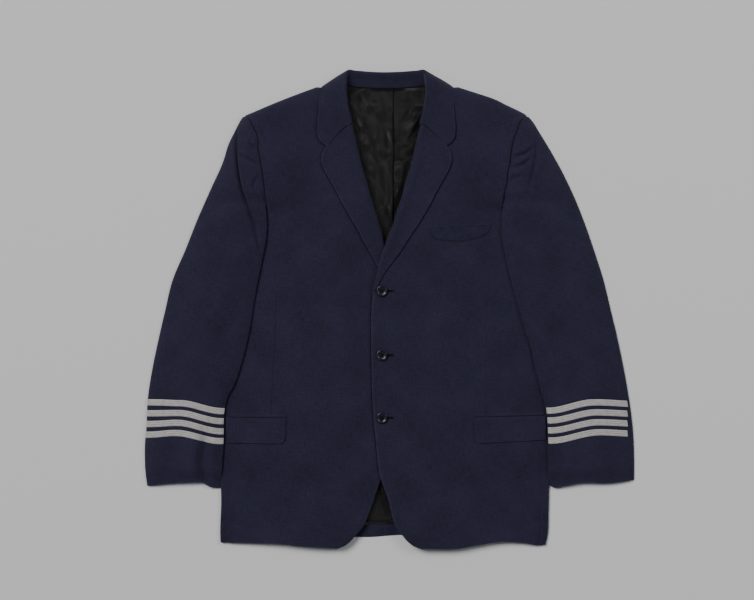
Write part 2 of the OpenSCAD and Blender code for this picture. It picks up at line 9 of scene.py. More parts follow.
import bpy
import numpy as np
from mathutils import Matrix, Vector


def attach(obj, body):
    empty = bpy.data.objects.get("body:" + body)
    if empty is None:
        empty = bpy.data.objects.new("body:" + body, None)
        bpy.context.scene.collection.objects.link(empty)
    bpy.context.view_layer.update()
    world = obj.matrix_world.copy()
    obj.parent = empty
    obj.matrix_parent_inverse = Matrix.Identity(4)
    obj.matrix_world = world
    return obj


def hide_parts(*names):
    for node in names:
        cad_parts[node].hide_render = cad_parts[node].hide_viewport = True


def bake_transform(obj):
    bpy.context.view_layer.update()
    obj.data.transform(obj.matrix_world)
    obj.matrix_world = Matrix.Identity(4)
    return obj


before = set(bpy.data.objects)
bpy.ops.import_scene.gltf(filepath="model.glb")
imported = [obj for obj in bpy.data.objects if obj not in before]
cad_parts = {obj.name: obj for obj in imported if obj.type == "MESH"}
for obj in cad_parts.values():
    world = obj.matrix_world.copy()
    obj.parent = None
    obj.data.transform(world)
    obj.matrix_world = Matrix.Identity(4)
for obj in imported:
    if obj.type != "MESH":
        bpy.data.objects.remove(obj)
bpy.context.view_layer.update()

MM = 0.001
LEFT, RIGHT = 1, -1
SIDES = {LEFT: "left", RIGHT: "right"}


# ---------------- camera and stage

VIEW_WIDTH = 1.3195
VIEW_CENTRE = (-0.014, 0.01575)
CAMERA_HEIGHT = 3.6
SENSOR = 36.0
# The height above the floor at which VIEW_WIDTH is seen
VIEW_PLANE = 0.012


def make_camera():
    data = bpy.data.cameras.new("camera")
    data.sensor_width = SENSOR
    data.lens = SENSOR * (CAMERA_HEIGHT - VIEW_PLANE) / VIEW_WIDTH
    camera = bpy.data.objects.new("camera", data)
    camera.location = (*VIEW_CENTRE, CAMERA_HEIGHT)
    bpy.context.scene.collection.objects.link(camera)
    bpy.context.scene.camera = camera


def area_light(name, place, size, power, colour):
    data = bpy.data.lights.new(name, "AREA")
    data.shape = "DISK"
    data.size, data.energy, data.color = size, power, colour
    light = bpy.data.objects.new(name, data)
    light.location = place
    light.rotation_mode = "QUATERNION"
    light.rotation_quaternion = (Vector((0, 0, 0)) - Vector(place)).to_track_quat("-Z", "Y")
    bpy.context.scene.collection.objects.link(light)


make_camera()
area_light("key", (-5.5, 4.5, 10.0), 6.0, 1240, (1.0, 0.985, 0.97))
area_light("fill", (3.2, 1.6, 3.4), 2.4, 60, (0.97, 0.985, 1.0))
world = bpy.data.worlds.new("world")
world.use_nodes = True
world.node_tree.nodes["Background"].inputs["Color"].default_value = (0.9, 0.95, 1.0, 1)
world.node_tree.nodes["Background"].inputs["Strength"].default_value = 0.16
bpy.context.scene.world = world


# ---------------- small maths

def ease(a, b, t):
    q = np.clip((t - a) / (b - a), 0, 1)
    return q * q * (3 - 2 * q)


def mix(a, b, t):
    return a + (b - a) * t


def curve(table):
    """A smooth curve through (position, value) pairs in rising order, level beyond its ends."""
    t, v = np.array(table, float).T
    slope = np.gradient(v, t)

    def at(q):
        q = np.clip(q, t[0], t[-1])
        i = np.clip(np.searchsorted(t, q, side="right") - 1, 0, len(t) - 2)
        h = t[i + 1] - t[i]
        w = (q - t[i]) / h
        return ((1 + 2 * w) * (1 - w) ** 2 * v[i] + w * (1 - w) ** 2 * h * slope[i]
                + w * w * (3 - 2 * w) * v[i + 1] + w * w * (w - 1) * h * slope[i + 1])
    return at


def path_lengths(points):
    """How far along a line each of its points is."""
    return np.concatenate([[0], np.cumsum(np.linalg.norm(np.diff(points, axis=0), axis=1))])


def smooth_path(points, n):
    """n points along a smooth line through the given ones."""
    p = np.array(points, float)
    along = path_lengths(p)
    at = np.linspace(0, along[-1], n)
    return np.stack([curve(np.stack([along, p[:, k]], 1))(at) for k in range(p.shape[1])], 1)


def waves(x, y, size, seed, count=14):
    """Smooth irregular relief between about -1 and 1, with features about size millimetres wide."""
    r = np.random.default_rng(seed)
    total = 0
    for _ in range(count):
        a, phase = r.uniform(0, math.tau), r.uniform(0, math.tau)
        k = r.uniform(0.5, 1.3) * math.tau / size / 2
        total = total + np.sin(k * (x * math.cos(a) + y * math.sin(a)) + phase)
    return total / math.sqrt(count)


def crease(x, y, points, depth, width, lip=0.45):
    """A fold along a line: a valley, fading at both ends, with a raised lip on its left side."""
    line = smooth_path(points, 26)
    best, side, share = np.full(x.shape, 1e9), np.zeros(x.shape), np.zeros(x.shape)
    for i, (a, b) in enumerate(zip(line[:-1], line[1:])):
        d = b - a
        t = np.clip(((x - a[0]) * d[0] + (y - a[1]) * d[1]) / (d @ d), 0, 1)
        ex, ey = x - a[0] - t * d[0], y - a[1] - t * d[1]
        dist = np.hypot(ex, ey)
        near = dist < best
        best = np.where(near, dist, best)
        side = np.where(near, np.sign(d[0] * ey - d[1] * ex), side)
        share = np.where(near, (i + t) / (len(line) - 1), share)
    fade = np.sin(math.pi * np.clip(share, 0.02, 0.98)) ** 0.6
    signed = best * side
    return depth * fade * (lip * np.exp(-((signed - 1.9 * width) / (1.3 * width)) ** 2)
                           - np.exp(-(signed / width) ** 2))


def creased(height, x, y, folds, factor=1):
    """A height with folds added to it, each given as the last arguments of crease()."""
    for fold in folds:
        height = height + factor * crease(x, y, *fold)
    return height


# ---------------- measures of the jacket

HEM_Y, BACK_HEM_Y, LINING_HEM_Y, CUFF_Y = -410, -397, -373, -308
UNDERARM_Y = 168
# The lowest point of the fronts' rounded corners, and the height at which the lapels break
FRONT_LOW, BREAK_Y = -419, 31
# How far inside the side's outline the side panel meets the front and the back
FRONT_SEAM, SIDE_SEAM = 14.2, 60
# Heights of the chest and of the fold at the side, and how much the shoulder pads add
CHEST, SIDE_FOLD, PAD = 20.0, 7.0, 5.0
# Both ends of the shoulder seam
NECK_X, NECK_Y, TIP_X, TIP_Y = 112, 390, 250, 337
# The middle of the fronts' overlap, and of the lapels above it
CENTRE_FRONT, LAPEL_CENTRE = -7, 2.5
# How much higher the sleeve lies where it is on the body's side
SLEEVE_LIFT = 9.0
CLOTH, FELT, SATIN, LAPEL_PLY = 1.4, 0.6, 0.6, 2.6
FLOOR_GAP = 0.15

# The body's outline, how far each front reaches past the middle, and the lapel's fold and outer edge
side_edge = curve([(HEM_Y, 282), (-350, 286), (-310, 288), (-150, 281), (-60, 270), (20, 262), (100, 252),
                   (UNDERARM_Y, 246)])
lap = curve([(-419, -72), (-415, -60), (-410, -52), (-395, -38), (-358, -22), (-328, -12), (-291, 1),
             (-234, 8), (-177, 13.5), (-83, 16), (0, 16), (BREAK_Y, 13)])
fold_half = curve([(BREAK_Y, -20), (52, -14), (84, -7), (109, 1.5), (140, 12), (167, 19.5), (195, 28.5),
                   (226, 37), (247, 44), (279, 51), (319, 61), (338, 66.5), (367, 71), (391, 72)])
lapel_half = curve([(BREAK_Y, -18), (40, -13.5), (52, -8), (62, -2.5), (81, 11), (100, 25.5), (120, 38),
                    (140, 50), (161, 62.5), (183, 75), (208, 88), (226, 98), (245, 108.5), (254, 111.8),
                    (261, 113), (268, 112.6), (276, 110), (285, 104), (295, 96.5), (306, 87), (317, 75),
                    (326, 62)])
# The sleeve's inner edge, which is the armhole's seam above the underarm, and its outer edge
ARM_EDGE = {
    LEFT: curve([(-312, 289.5), (-260, 286.5), (-217, 285.5), (-170, 281.5), (-136, 272.5), (-66, 256),
                 (-9, 239), (51, 222), (86, 214), (122, 206.5), (156, 205.5), (181, 207.3), (206, 210.6),
                 (221, 214.8), (239, 215.7), (256, 219.9), (273, 221.5), (293, 225), (311, 231.6),
                 (328, 238.3), (337, 248)]),
    RIGHT: curve([(-312, 289), (-237, 283), (-171, 280), (-157, 277), (-136, 266), (-93, 251), (-50, 240),
                  (33, 226), (86, 215.5), (122, 208.8), (148, 207.2), (164, 208), (206, 212.2), (248, 217.2),
                  (281, 223), (303, 224.7), (316, 230.6), (334, 242.3), (337, 246)]),
}
SLEEVE_EDGE = {
    LEFT: curve([(-312, 436.5), (-264, 436.8), (-212, 434.5), (-156, 427.5), (-107, 419), (-54, 408),
                 (-2, 395.5), (51, 382.5), (103, 366), (156, 347.5), (208, 326), (261, 299), (287, 284),
                 (313, 268), (331, 256.5), (337, 251)]),
    RIGHT: curve([(-312, 416), (-290, 419), (-238, 420.8), (-212, 418.5), (-156, 415.5), (-107, 408),
                  (-54, 397), (-2, 385), (51, 372), (103, 350), (156, 329), (208, 306), (261, 282.5),
                  (287, 274.5), (313, 262), (331, 252.5), (337, 248.5)]),
}
BUTTON_Y = {"top": 31.5, "middle": -80.5, "bottom": -190}
BUTTON_X = -5.5
FLAP_SPAN = {LEFT: (157, 281), RIGHT: (174, 277.5)}
FLAP_Y, FLAP_H = {LEFT: -190, RIGHT: -191.5}, {LEFT: 44.5, RIGHT: 43.5}
FLAP_CORNER = 11
# How much a pocket's line rises per millimetre outwards, and how much shorter its flap gets
WELT_SLOPE, FLAP_TAPER = {LEFT: 0.02, RIGHT: 0.01}, {LEFT: 0.028, RIGHT: 0}
DARTS = {LEFT: curve([(-177, 177), (24, 179)]), RIGHT: curve([(-184, 199), (21, 189)])}
STRIPES, STRIPE_W, STRIPE_PITCH = 4, 10.2, 17.5
STRIPE_TOP = {LEFT: -163, RIGHT: -164.3}

# How far each shoulder seam bulges beyond a straight line
SHOULDER_BULGE = {
    LEFT: curve([(337, 2.5), (346, 9.5), (357, 15), (368, 21), (378, 17), (388, 12), (392, 10)]),
    RIGHT: curve([(337, -1.5), (346, 0.5), (357, 3.5), (368, 5), (378, 5), (392, 3)]),
}


def shoulder_x(s, y):
    """The shoulder seam's x at height y."""
    return mix(NECK_X, TIP_X, (NECK_Y - y) / (NECK_Y - TIP_Y)) + SHOULDER_BULGE[s](y)


def below_shoulder(s, x, y):
    """How far a point lies below the shoulder seam."""
    run, fall = TIP_X - NECK_X, TIP_Y - NECK_Y
    return ((x - SHOULDER_BULGE[s](y) - NECK_X) * fall - (y - NECK_Y) * run) / math.hypot(run, fall)


# How much wider or narrower each front's rounded corner is than the common outline
CUTAWAY = {LEFT: curve([(-419, 0), (-398, 0), (-370, -3), (-340, 0)]),
           RIGHT: curve([(-419, 5), (-412, 6.5), (-396, 6.8), (-373, 1.2), (-350, 0)])}


def fold_centre(y):
    """The middle between both lapels' folds."""
    return CENTRE_FRONT * (1 - ease(BREAK_Y, 112, y)) + LAPEL_CENTRE * ease(110, 150, y)


def about_centre(s, half, y):
    """A half width on side s of the lapels' middle. Near the break it is the left side's own x."""
    return s * fold_centre(y) + (half(y) - fold_centre(y) * (1 - ease(110, 150, y)))


def front_edge(s, y):
    """The front's edge below the lapel's break, and the lapel's fold above it, on side s."""
    below = s * CENTRE_FRONT - lap(y) + CUTAWAY[s](y)
    return np.where(y < BREAK_Y, below, about_centre(s, fold_half, y))


def lapel_edge(s, y):
    return about_centre(s, lapel_half, y)


HEM_LEFT = curve([(-419, -1.5), (-399, 2), (-355, 1.2), (-320, 0)])


def side_x(s, y):
    """The side's outline. The right side hangs a little wider at the hem than the left one."""
    return side_edge(y) + (HEM_LEFT(y) if s == LEFT else 6.5 * (1 - ease(HEM_Y, -320, y)))


def front_limit(s, y):
    """Where the front meets the side fold, the armhole or the shoulder seam."""
    return np.where(y < UNDERARM_Y + 1, side_x(s, y), np.minimum(ARM_EDGE[s](y), shoulder_x(s, y)))


# Folds in the cloth of each front, and soft old creases across both: points, depth, width
FRONT_FOLDS = {
    LEFT: [
        ([(12, 26), (70, 24), (130, 30), (214, 26)], -0.55, 9), ([(30, 10), (110, 12), (215, 4)], 0.5, 8),
        ([(240, -405), (247, -370), (243, -330)], 1.3, 9),
        ([(212, -400), (206, -350), (214, -290)], -0.8, 16),
        ([(140, -395), (133, -340), (142, -280)], -0.6, 18), ([(190, 205), (182, 120), (196, 40)], 0.7, 14),
        ([(60, -300), (75, -345), (70, -395)], -0.5, 14),
    ],
    RIGHT: [
        ([(20, 20), (64, 22), (120, 30), (214, 38)], -0.8, 9),
        ([(20, 2), (80, 6), (150, 10), (220, 22)], 0.7, 8),
        ([(268, -400), (262, -350), (266, -300)], 0.9, 8),
        ([(238, -398), (244, -345), (236, -290)], -0.9, 14),
        ([(120, -395), (112, -350), (122, -300)], -0.5, 20), ([(192, 200), (186, 120), (198, 30)], 0.8, 14),
        ([(150, 330), (176, 290), (186, 240)], -0.9, 18),
    ],
}


def relief(s, x, y):
    height = 0.9 * waves(x, y, 130, 3 + s) + 0.42 * waves(x, y, 46, 11 + s)
    height = creased(height, x, y, FRONT_FOLDS[s])
    # The cloth is pressed flat beside the front edge and at the front's outer limit
    return height * ease(4, 60, x - front_edge(s, y)) * ease(0, 25, front_limit(s, y) - x)


def tuck(s, x, y):
    """How far the right front lies below the left one, near the middle."""
    depth = mix(5.2, 8.6, ease(5, 40, y))
    return 0 if s == LEFT else depth * ease(-80, -24, -x) * (1 - ease(112, 185, y))


def gutter(s, x, y):
    """The left front sinks beside the sleeve that lies over it."""
    if s == RIGHT:
        return 0
    return 1.3 * np.exp(-((x - ARM_EDGE[s](y)) / 6) ** 2) * ease(-330, -260, y) * (1 - ease(110, 165, y))


def front_z(s, x, y, folds=True):
    """Height of the front's outer face at (x, y) on side s."""
    zone = mix(ARM_EDGE[s](y) - 8, 400, ease(UNDERARM_Y + 2, 222, y))
    crown = 1 - np.minimum(1, np.abs(x) / zone) ** 2.5
    height = SIDE_FOLD + (CHEST - SIDE_FOLD) * crown - tuck(s, x, y)
    height = height + PAD * ease(120, 215, x) * ease(205, 290, y)
    round_over = np.sqrt(1 - (1 - np.clip(below_shoulder(s, x, y) / 26, 0, 1)) ** 2)
    height = mix(SIDE_FOLD + 0.5, height, round_over)
    return height + (relief(s, x, y) if folds else 0)


def front_z_at(s, x, y):
    return float(front_z(s, np.array([x]), y)[0])


def on_front(s, x, y, rise):
    """The points of a line that runs over the front, rise above its face."""
    return np.column_stack([x, y, front_z(s, x, y) + rise])


# ---------------- meshes

# Where the points of a sheet's half-round edge lie between its upper and its lower face
RIM_ANGLES = (0.8, 0, -0.8)


def closed_loop(rows, cols):
    """Indices round the border of a grid, in order."""
    return ([(0, j) for j in range(cols)] + [(i, cols - 1) for i in range(1, rows)]
            + [(rows - 1, j) for j in range(cols - 2, -1, -1)] + [(i, 0) for i in range(rows - 2, 0, -1)])


def unit(v):
    return v / np.maximum(np.linalg.norm(v, axis=-1, keepdims=True), 1e-9)


def make_mesh(name, points, faces, uv, wear_and_highlight=None):
    """An object whose layers hold the cloth's coordinates, and how much its edges are paled, in both
    numbers. The paling is partly abrasion and partly a painted highlight.
    """
    mesh = bpy.data.meshes.new(name)
    mesh.from_pydata((np.asarray(points, float) * MM).tolist(), [], faces)
    mesh.validate()
    mesh.polygons.foreach_set("use_smooth", [True] * len(mesh.polygons))
    at = np.zeros(len(mesh.loops), int)
    mesh.loops.foreach_get("vertex_index", at)
    wear_and_highlight = np.zeros(len(points)) if wear_and_highlight is None else wear_and_highlight
    for layer_name, values in (("cloth", uv * MM), ("wear", np.stack([wear_and_highlight, wear_and_highlight], 1))):
        layer = mesh.uv_layers.new(name=layer_name)
        layer.data.foreach_set("uv", values[at].ravel())
    piece = bpy.data.objects.new(name, mesh)
    bpy.context.scene.collection.objects.link(piece)
    return piece


def normals(grid):
    return unit(np.cross(np.gradient(grid, axis=1), np.gradient(grid, axis=0)))


def wear_and_highlight_mask(rows, cols, edges):
    """1 on the borders of a grid that are named in edges, and 0 elsewhere. There the cloth is paled, partly
    for abrasion and partly as a painted highlight.
    """
    mask = np.zeros((rows, cols))
    for edge in edges:
        mask[{"first_row": (0, slice(None)), "last_row": (-1, slice(None)),
              "first_col": (slice(None), 0), "last_col": (slice(None), -1)}[edge]] = 1
    return mask


def outwards(grid):
    """Unit vectors in the cloth's surface that point out of the grid at its border."""
    ends = [(np.arange(n) == n - 1) * 1.0 - (np.arange(n) == 0) for n in grid.shape[:2]]
    along_c, along_r = unit(np.gradient(grid, axis=1)), unit(np.gradient(grid, axis=0))
    return unit(along_c * ends[1][None, :, None] + along_r * ends[0][:, None, None])


def sheet_faces(rows, cols, border, rims):
    """The faces of a sheet's two sides, and of the bands round its edge."""
    count, ring = rows * cols, len(border)
    faces = []
    for i in range(rows - 1):
        for j in range(cols - 1):
            a, d = i * cols + j, (i + 1) * cols + j
            faces.append((a, a + 1, d + 1, d))
            faces.append((count + a, count + d, count + d + 1, count + a + 1))
    edge = [i * cols + j for i, j in border]
    between = [[2 * count + k * ring + q for q in range(ring)] for k in range(rims)]
    rings = [edge, *between, [count + e for e in edge]]
    for upper, lower in zip(rings[:-1], rings[1:]):
        for q in range(ring):
            w = (q + 1) % ring
            faces.append((upper[w], upper[q], lower[q], lower[w]))
    return faces


def sheet(name, grid, thick, s, uv=None, wear_and_highlight=()):
    """A closed sheet of cloth whose middle is the grid, with half-round edges, on side s."""
    grid = np.array(grid, float)
    rows, cols = grid.shape[:2]
    half = np.broadcast_to(np.asarray(thick, float) / 2, (rows, cols))[..., None]
    n = normals(grid)
    border = closed_loop(rows, cols)
    bi, bj = np.array(border).T
    centre, lift, out, h = grid[bi, bj], n[bi, bj], outwards(grid)[bi, bj], half[bi, bj]
    rims = [centre + h * (out * math.cos(a) + lift * math.sin(a)) for a in RIM_ANGLES]
    points = np.concatenate([(grid + n * half).reshape(-1, 3), (grid - n * half).reshape(-1, 3), *rims])
    faces = sheet_faces(rows, cols, border, len(rims))

    def on_all(values):
        """Values of the grid's points, repeated for the two sides and the rims."""
        return np.concatenate([values, values, *[values[bi * cols + bj]] * len(rims)])
    flat = on_all(np.asarray(grid[..., :2] if uv is None else uv, float).reshape(-1, 2))
    # The edges to pale: partly abrasion, partly a painted highlight
    rubbed_and_highlit = on_all(wear_and_highlight_mask(rows, cols, wear_and_highlight).ravel())
    if s == RIGHT:
        faces = [f[::-1] for f in faces]
    return make_mesh(name, points * (s, 1, 1), faces, flat, rubbed_and_highlit)


def ring_faces(rings, sides, start=0):
    """Faces that join each ring of points to the next one."""
    faces = []
    for i in range(rings - 1):
        a, b = start + i * sides, start + (i + 1) * sides
        faces += [(a + k, a + (k + 1) % sides, b + (k + 1) % sides, b + k) for k in range(sides)]
    return faces


def tube(line, radius, sides=6, s=LEFT):
    """The points and faces of a thread or cord along a line, tapered at its ends."""
    line = np.array(line, float)
    tangent = unit(np.gradient(line, axis=0))
    across = unit(np.cross(tangent, (0.13, 0.07, 1.0)))
    other = np.cross(tangent, across)
    r = np.full(len(line), float(radius))
    r[[0, -1]] *= 0.35
    angle = np.arange(sides) * math.tau / sides
    rings = line[:, None] + r[:, None, None] * (across[:, None] * np.cos(angle)[None, :, None]
                                                + other[:, None] * np.sin(angle)[None, :, None])
    points = rings.reshape(-1, 3) * (s, 1, 1)
    faces = ring_faces(len(line), sides)
    faces.append(tuple(range(sides))[::-1])
    faces.append(tuple((len(line) - 1) * sides + k for k in range(sides)))
    if s == LEFT:
        faces = [f[::-1] for f in faces]
    return points, faces


def joined(name, parts):
    """One mesh from several (points, faces) pairs."""
    points, faces, start = [], [], 0
    for p, f in parts:
        points.append(p)
        faces += [tuple(start + i for i in q) for q in f]
        start += len(p)
    points = np.concatenate(points)
    return make_mesh(name, points, faces, points[:, :2])


def place(piece, body, material, slot, stands_for=(), cloth=None, rests_on=(), held="laid"):
    """Gives a piece its material and body, and hides the CAD nodes it stands for. cloth, a sheet's (width,
    length), is not used.
    """
    piece.data.materials.append(material)
    if stands_for:
        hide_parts(*stands_for)
    if isinstance(body, str):
        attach(piece, body)
    else:
        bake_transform(piece)
    return piece


# ---------------- materials

class Recipe:
    """A material in the making. Its patterns follow the cloth's own coordinates, in metres."""

    def __init__(self, name, colour, roughness, **shine):
        self.made = bpy.data.materials.new(name)
        self.made.use_nodes = True
        self.tree = self.made.node_tree
        self.shader = self.tree.nodes["Principled BSDF"]
        self.colour = colour
        settings = {"Base Color": (*colour, 1), "Roughness": roughness}
        settings.update({SHINE[name]: value for name, value in shine.items()})
        for socket, value in settings.items():
            self.shader.inputs[socket].default_value = value
        self.uv, self.u, self.v = self.coordinates("cloth")

    def node(self, kind, inputs, out=0, **attributes):
        """Adds a node. Each of its inputs gets a value, or a link from another node's output."""
        node = self.tree.nodes.new(kind)
        for name, value in attributes.items():
            setattr(node, name, value)
        for socket, value in inputs.items():
            if isinstance(value, bpy.types.NodeSocket):
                self.tree.links.new(value, node.inputs[socket])
            else:
                node.inputs[socket].default_value = value
        return node.outputs[out]

    def coordinates(self, layer):
        """A layer's coordinates, as a vector and as its first and second number."""
        whole = self.node("ShaderNodeUVMap", {}, "UV", uv_map=layer)
        return whole, *(self.node("ShaderNodeSeparateXYZ", {0: whole}, axis) for axis in (0, 1))

    def maths(self, operation, a, b=0.5):
        return self.node("ShaderNodeMath", {0: a, 1: b}, operation=operation)

    def noise(self, scale, stretch=(1, 1, 1), detail=2):
        where = self.node("ShaderNodeMapping", {"Vector": self.uv, "Scale": stretch}, "Vector")
        return self.node("ShaderNodeTexNoise", {"Vector": where, "Scale": scale, "Detail": detail}, "Fac")

    def ripple(self, pitch, turn=0.0):
        """A sine wave across the cloth, turned from the u direction by an angle."""
        k = math.tau / pitch
        u = self.maths("MULTIPLY", self.u, k * math.cos(turn))
        v = self.maths("MULTIPLY", self.v, k * math.sin(turn))
        return self.maths("SINE", self.maths("ADD", u, v))

    def weave(self, pitch):
        return self.maths("MULTIPLY", self.ripple(pitch), self.ripple(pitch, math.pi / 2))

    def total(self, *parts):
        """The sum of (factor, socket) pairs."""
        out = 0.0
        for factor, socket in parts:
            out = self.maths("ADD", self.maths("MULTIPLY", socket, factor), out)
        return out

    def tint(self, amount, low, high, dyed=None, rubbed_and_highlit=None):
        """Varies the colour between low and high times itself as amount runs from 0.3 to 0.7.

        dyed is a colour socket to use instead of the plain colour, and the last argument makes the cloth
        paler at its edges: partly abrasion, partly a painted highlight."""
        factor = self.node("ShaderNodeMapRange", {"Value": amount, "From Min": 0.3, "From Max": 0.7,
                                                  "To Min": low, "To Max": high}, "Result")
        if rubbed_and_highlit is not None:
            paler = self.maths("ADD", self.maths("MULTIPLY", rubbed_and_highlit, 0.85), 1.0)
            factor = self.maths("MULTIPLY", factor, paler)
        inputs = {0: self.colour if dyed is None else dyed, "Scale": factor}
        scaled = self.node("ShaderNodeVectorMath", inputs, "Vector", operation="SCALE")
        self.tree.links.new(scaled, self.shader.inputs["Base Color"])

    def bump(self, height, depth):
        normal = self.node("ShaderNodeBump", {"Height": height, "Distance": depth, "Strength": 1.0})
        self.tree.links.new(normal, self.shader.inputs["Normal"])


SHINE = {"specular": "Specular IOR Level", "metallic": "Metallic", "sheen": "Sheen Weight",
         "sheen_roughness": "Sheen Roughness", "sheen_tint": "Sheen Tint"}


def make_wool(name, colour, pitch, slub):
    """Yarns of two shades cross in a plain weave, with thick and thin places, and edges paler, partly from
    abrasion and partly as a painted highlight.
    """
    m = Recipe(name, colour, 0.88, specular=0.22, sheen=0.16, sheen_roughness=0.45,
               sheen_tint=(0.52, 0.52, 0.74, 1))
    weave = m.weave(pitch)
    across = m.noise(1, (70, 620, 1))
    along = m.noise(1, (620, 70, 1))
    patchy = m.noise(16, detail=4)
    shade = m.total((0.44 * slub, across), (0.44 * slub, along), (1 - 0.88 * slub, patchy))
    reddish = (colour[0] * 1.22, colour[1] * 0.97, colour[2] * 0.95, 1)
    bluish = (colour[0] * 0.78, colour[1] * 1.05, colour[2] * 1.06, 1)
    share = m.maths("MULTIPLY", m.maths("SUBTRACT", m.noise(1, (260, 300, 1), 3), 0.35), 3.2)
    yarn = m.node("ShaderNodeMix", {"A": reddish, "B": bluish, "Factor": share}, "Result", data_type="RGBA")
    # Edges paled in patches: partly abrasion, partly a painted highlight
    edge = m.coordinates("wear")[1]
    rubbed_and_highlit = m.maths("MULTIPLY", edge, m.noise(40))
    m.tint(shade, 0.52, 1.5, yarn, rubbed_and_highlit)
    m.bump(m.total((0.3, weave), (0.7, across), (0.7, along), (0.3, patchy)), 0.0005)
    return m.made


def make_satin():
    m = Recipe("satin_lining", (0.0046, 0.0041, 0.0048), 0.38, specular=0.5, sheen=0.05)
    cloudy = m.noise(60, detail=3)
    m.tint(cloudy, 0.8, 1.25)
    twill = m.ripple(0.0005, 0.9)
    streaks = m.noise(1, (430, 40, 1), 3)
    m.bump(m.total((0.2, twill), (0.8, cloudy), (1.2, streaks)), 0.0006)
    return m.made


def make_braid():
    m = Recipe("silver_braid", (0.62, 0.592, 0.568), 0.42, specular=0.5, metallic=0.15)
    plait = m.maths("MAXIMUM", m.ripple(0.0011, 0.95), m.ripple(0.0011, -0.95))
    grime = m.noise(150, detail=4)
    strand = m.noise(1, (240, 900, 1), 3)
    # A lighter and a darker line to each rib: painted shade in the grooves between the braid's ribs
    ribs = m.ripple(STRIPE_W * MM / 3, math.pi / 2)
    m.tint(m.total((0.4, grime), (0.4, strand), (0.1, ribs), (0.05, plait)), 0.76, 1.18)
    m.bump(m.total((1.0, plait), (0.6, grime)), 0.0003)
    return m.made


def make_felt():
    m = Recipe("badge_felt", (0.0170, 0.0156, 0.0355), 0.95, specular=0.15, sheen=0.2,
               sheen_tint=(0.45, 0.5, 0.75, 1))
    fuzz = m.noise(900, detail=5)
    cloudy = m.noise(90, detail=3)
    m.tint(m.total((0.5, cloudy), (0.5, fuzz)), 0.6, 1.4)
    m.bump(fuzz, 0.0006)
    return m.made


def make_thread(name, colour):
    m = Recipe(name, colour, 0.8, specular=0.15)
    fuzz = m.noise(1500)
    m.tint(fuzz, 0.8, 1.3)
    m.bump(m.total((1.0, m.ripple(0.0006, 0.6)), (0.6, fuzz)), 0.00012)
    return m.made


def make_tape():
    m = Recipe("black_tape", (0.0026, 0.0025, 0.0030), 0.75, specular=0.25)
    wear_and_highlight = m.noise(300, detail=3)
    m.tint(wear_and_highlight, 0.8, 1.4)
    m.bump(m.total((1.0, m.ripple(0.0009)), (0.5, wear_and_highlight)), 0.0002)
    return m.made


def make_interlining():
    m = Recipe("hair_canvas", (0.48, 0.4, 0.27), 0.9)
    hair = m.noise(1, (60, 1400, 1))
    m.tint(hair, 0.7, 1.2)
    m.bump(m.total((0.6, m.weave(0.0011)), (0.6, hair)), 0.0004)
    return m.made


def make_button_plastic():
    m = Recipe("button_resin", (0.0058, 0.0070, 0.0150), 0.27, specular=0.5)
    m.tint(m.noise(120, (1, 2.4, 1), detail=5), 0.7, 1.5)
    m.bump(m.noise(2500), 0.00003)
    return m.made


WOOL = make_wool("navy_wool", (0.0166, 0.0149, 0.0366), 0.0012, 0.75)
MELTON = make_wool("navy_melton", (0.0168, 0.0152, 0.0370), 0.0009, 0.3)
SATIN_CLOTH = make_satin()
BRAID = make_braid()
BADGE_FELT = make_felt()
THREAD = make_thread("navy_thread", (0.0050, 0.0046, 0.0072))
PATCH_THREAD = make_thread("brown_thread", (0.0190, 0.0150, 0.0165))
TAPE = make_tape()
CANVAS_CLOTH = make_interlining()
BUTTON = make_button_plastic()


# ---------------- grids shared by several pieces

def rows_between(low, high, step):
    return np.linspace(low, high, max(2, round((high - low) / step) + 1))


# How far each front's hem rises above a level line at x
HEM_RISE = {
    LEFT: curve([(65, 0), (130, 1), (158, 6), (207, 12.5), (240, 10), (268, 5)]),
    RIGHT: curve([(58, 0), (96, 1.5), (142, 4), (186, 8.5), (230, 9.5), (275, 10)]),
}


def hem_warp(s, x, y):
    """Moves a front's lowest rows so that its hem follows the jacket's."""
    return y + (1 - ease(FRONT_LOW, FRONT_LOW + 26, y)) * HEM_RISE[s](x)


def dart_x(s, y):
    """The dart's line, carried on above and below it for the columns of points."""
    return DARTS[s](np.clip(y, -180, 20)) + 0.06 * np.clip(y - 20, 0, 160)


def front_columns(s, y, inner, outer):
    """The x of each column at height y, with close columns beside the dart."""
    d = np.minimum(dart_x(s, y), outer - 14)
    near = np.array([-3.4, -1.8, -0.9, -0.4, 0, 0.4, 0.9, 1.8, 3.4])
    a = mix(inner, d + near[0], np.sin(np.linspace(0, math.pi / 2, 34, endpoint=False)) ** 1.25)
    b = mix(d + near[-1], outer, np.linspace(0, 1, 16)[1:])
    return np.concatenate([a, d + near, b])


def front_grid(s, rows):
    """Points of the front's outer face in own-side coordinates."""
    grid = []
    for y in rows:
        inner = front_edge(s, y) + (0 if y < BREAK_Y else 1.2)
        outer = front_limit(s, y) - (FRONT_SEAM + 0.4 if y < UNDERARM_Y + 1 else 0.7)
        x = front_columns(s, y, inner, outer)
        yy = hem_warp(s, x, y)
        grid.append(np.stack([x, yy, front_z(s, x, yy) - gutter(s, x, yy)], 1))
    return np.array(grid)


def lowered(grid, d):
    """The grid moved down by d millimetres."""
    down = np.zeros(grid.shape)
    down[..., 2] = d
    return grid - down


def arc_uv(grid):
    """Cloth coordinates: the length along the columns, and y."""
    step = np.linalg.norm(np.diff(grid, axis=1), axis=-1)
    u = grid[:, :1, 0] + np.concatenate([np.zeros((len(grid), 1)), np.cumsum(step, axis=1)], 1)
    return np.stack([u, grid[..., 1]], -1)


def extent(uv):
    """The width and length of a flat sheet."""
    flat = np.asarray(uv).reshape(-1, 2)
    return flat.max(0) - flat.min(0)


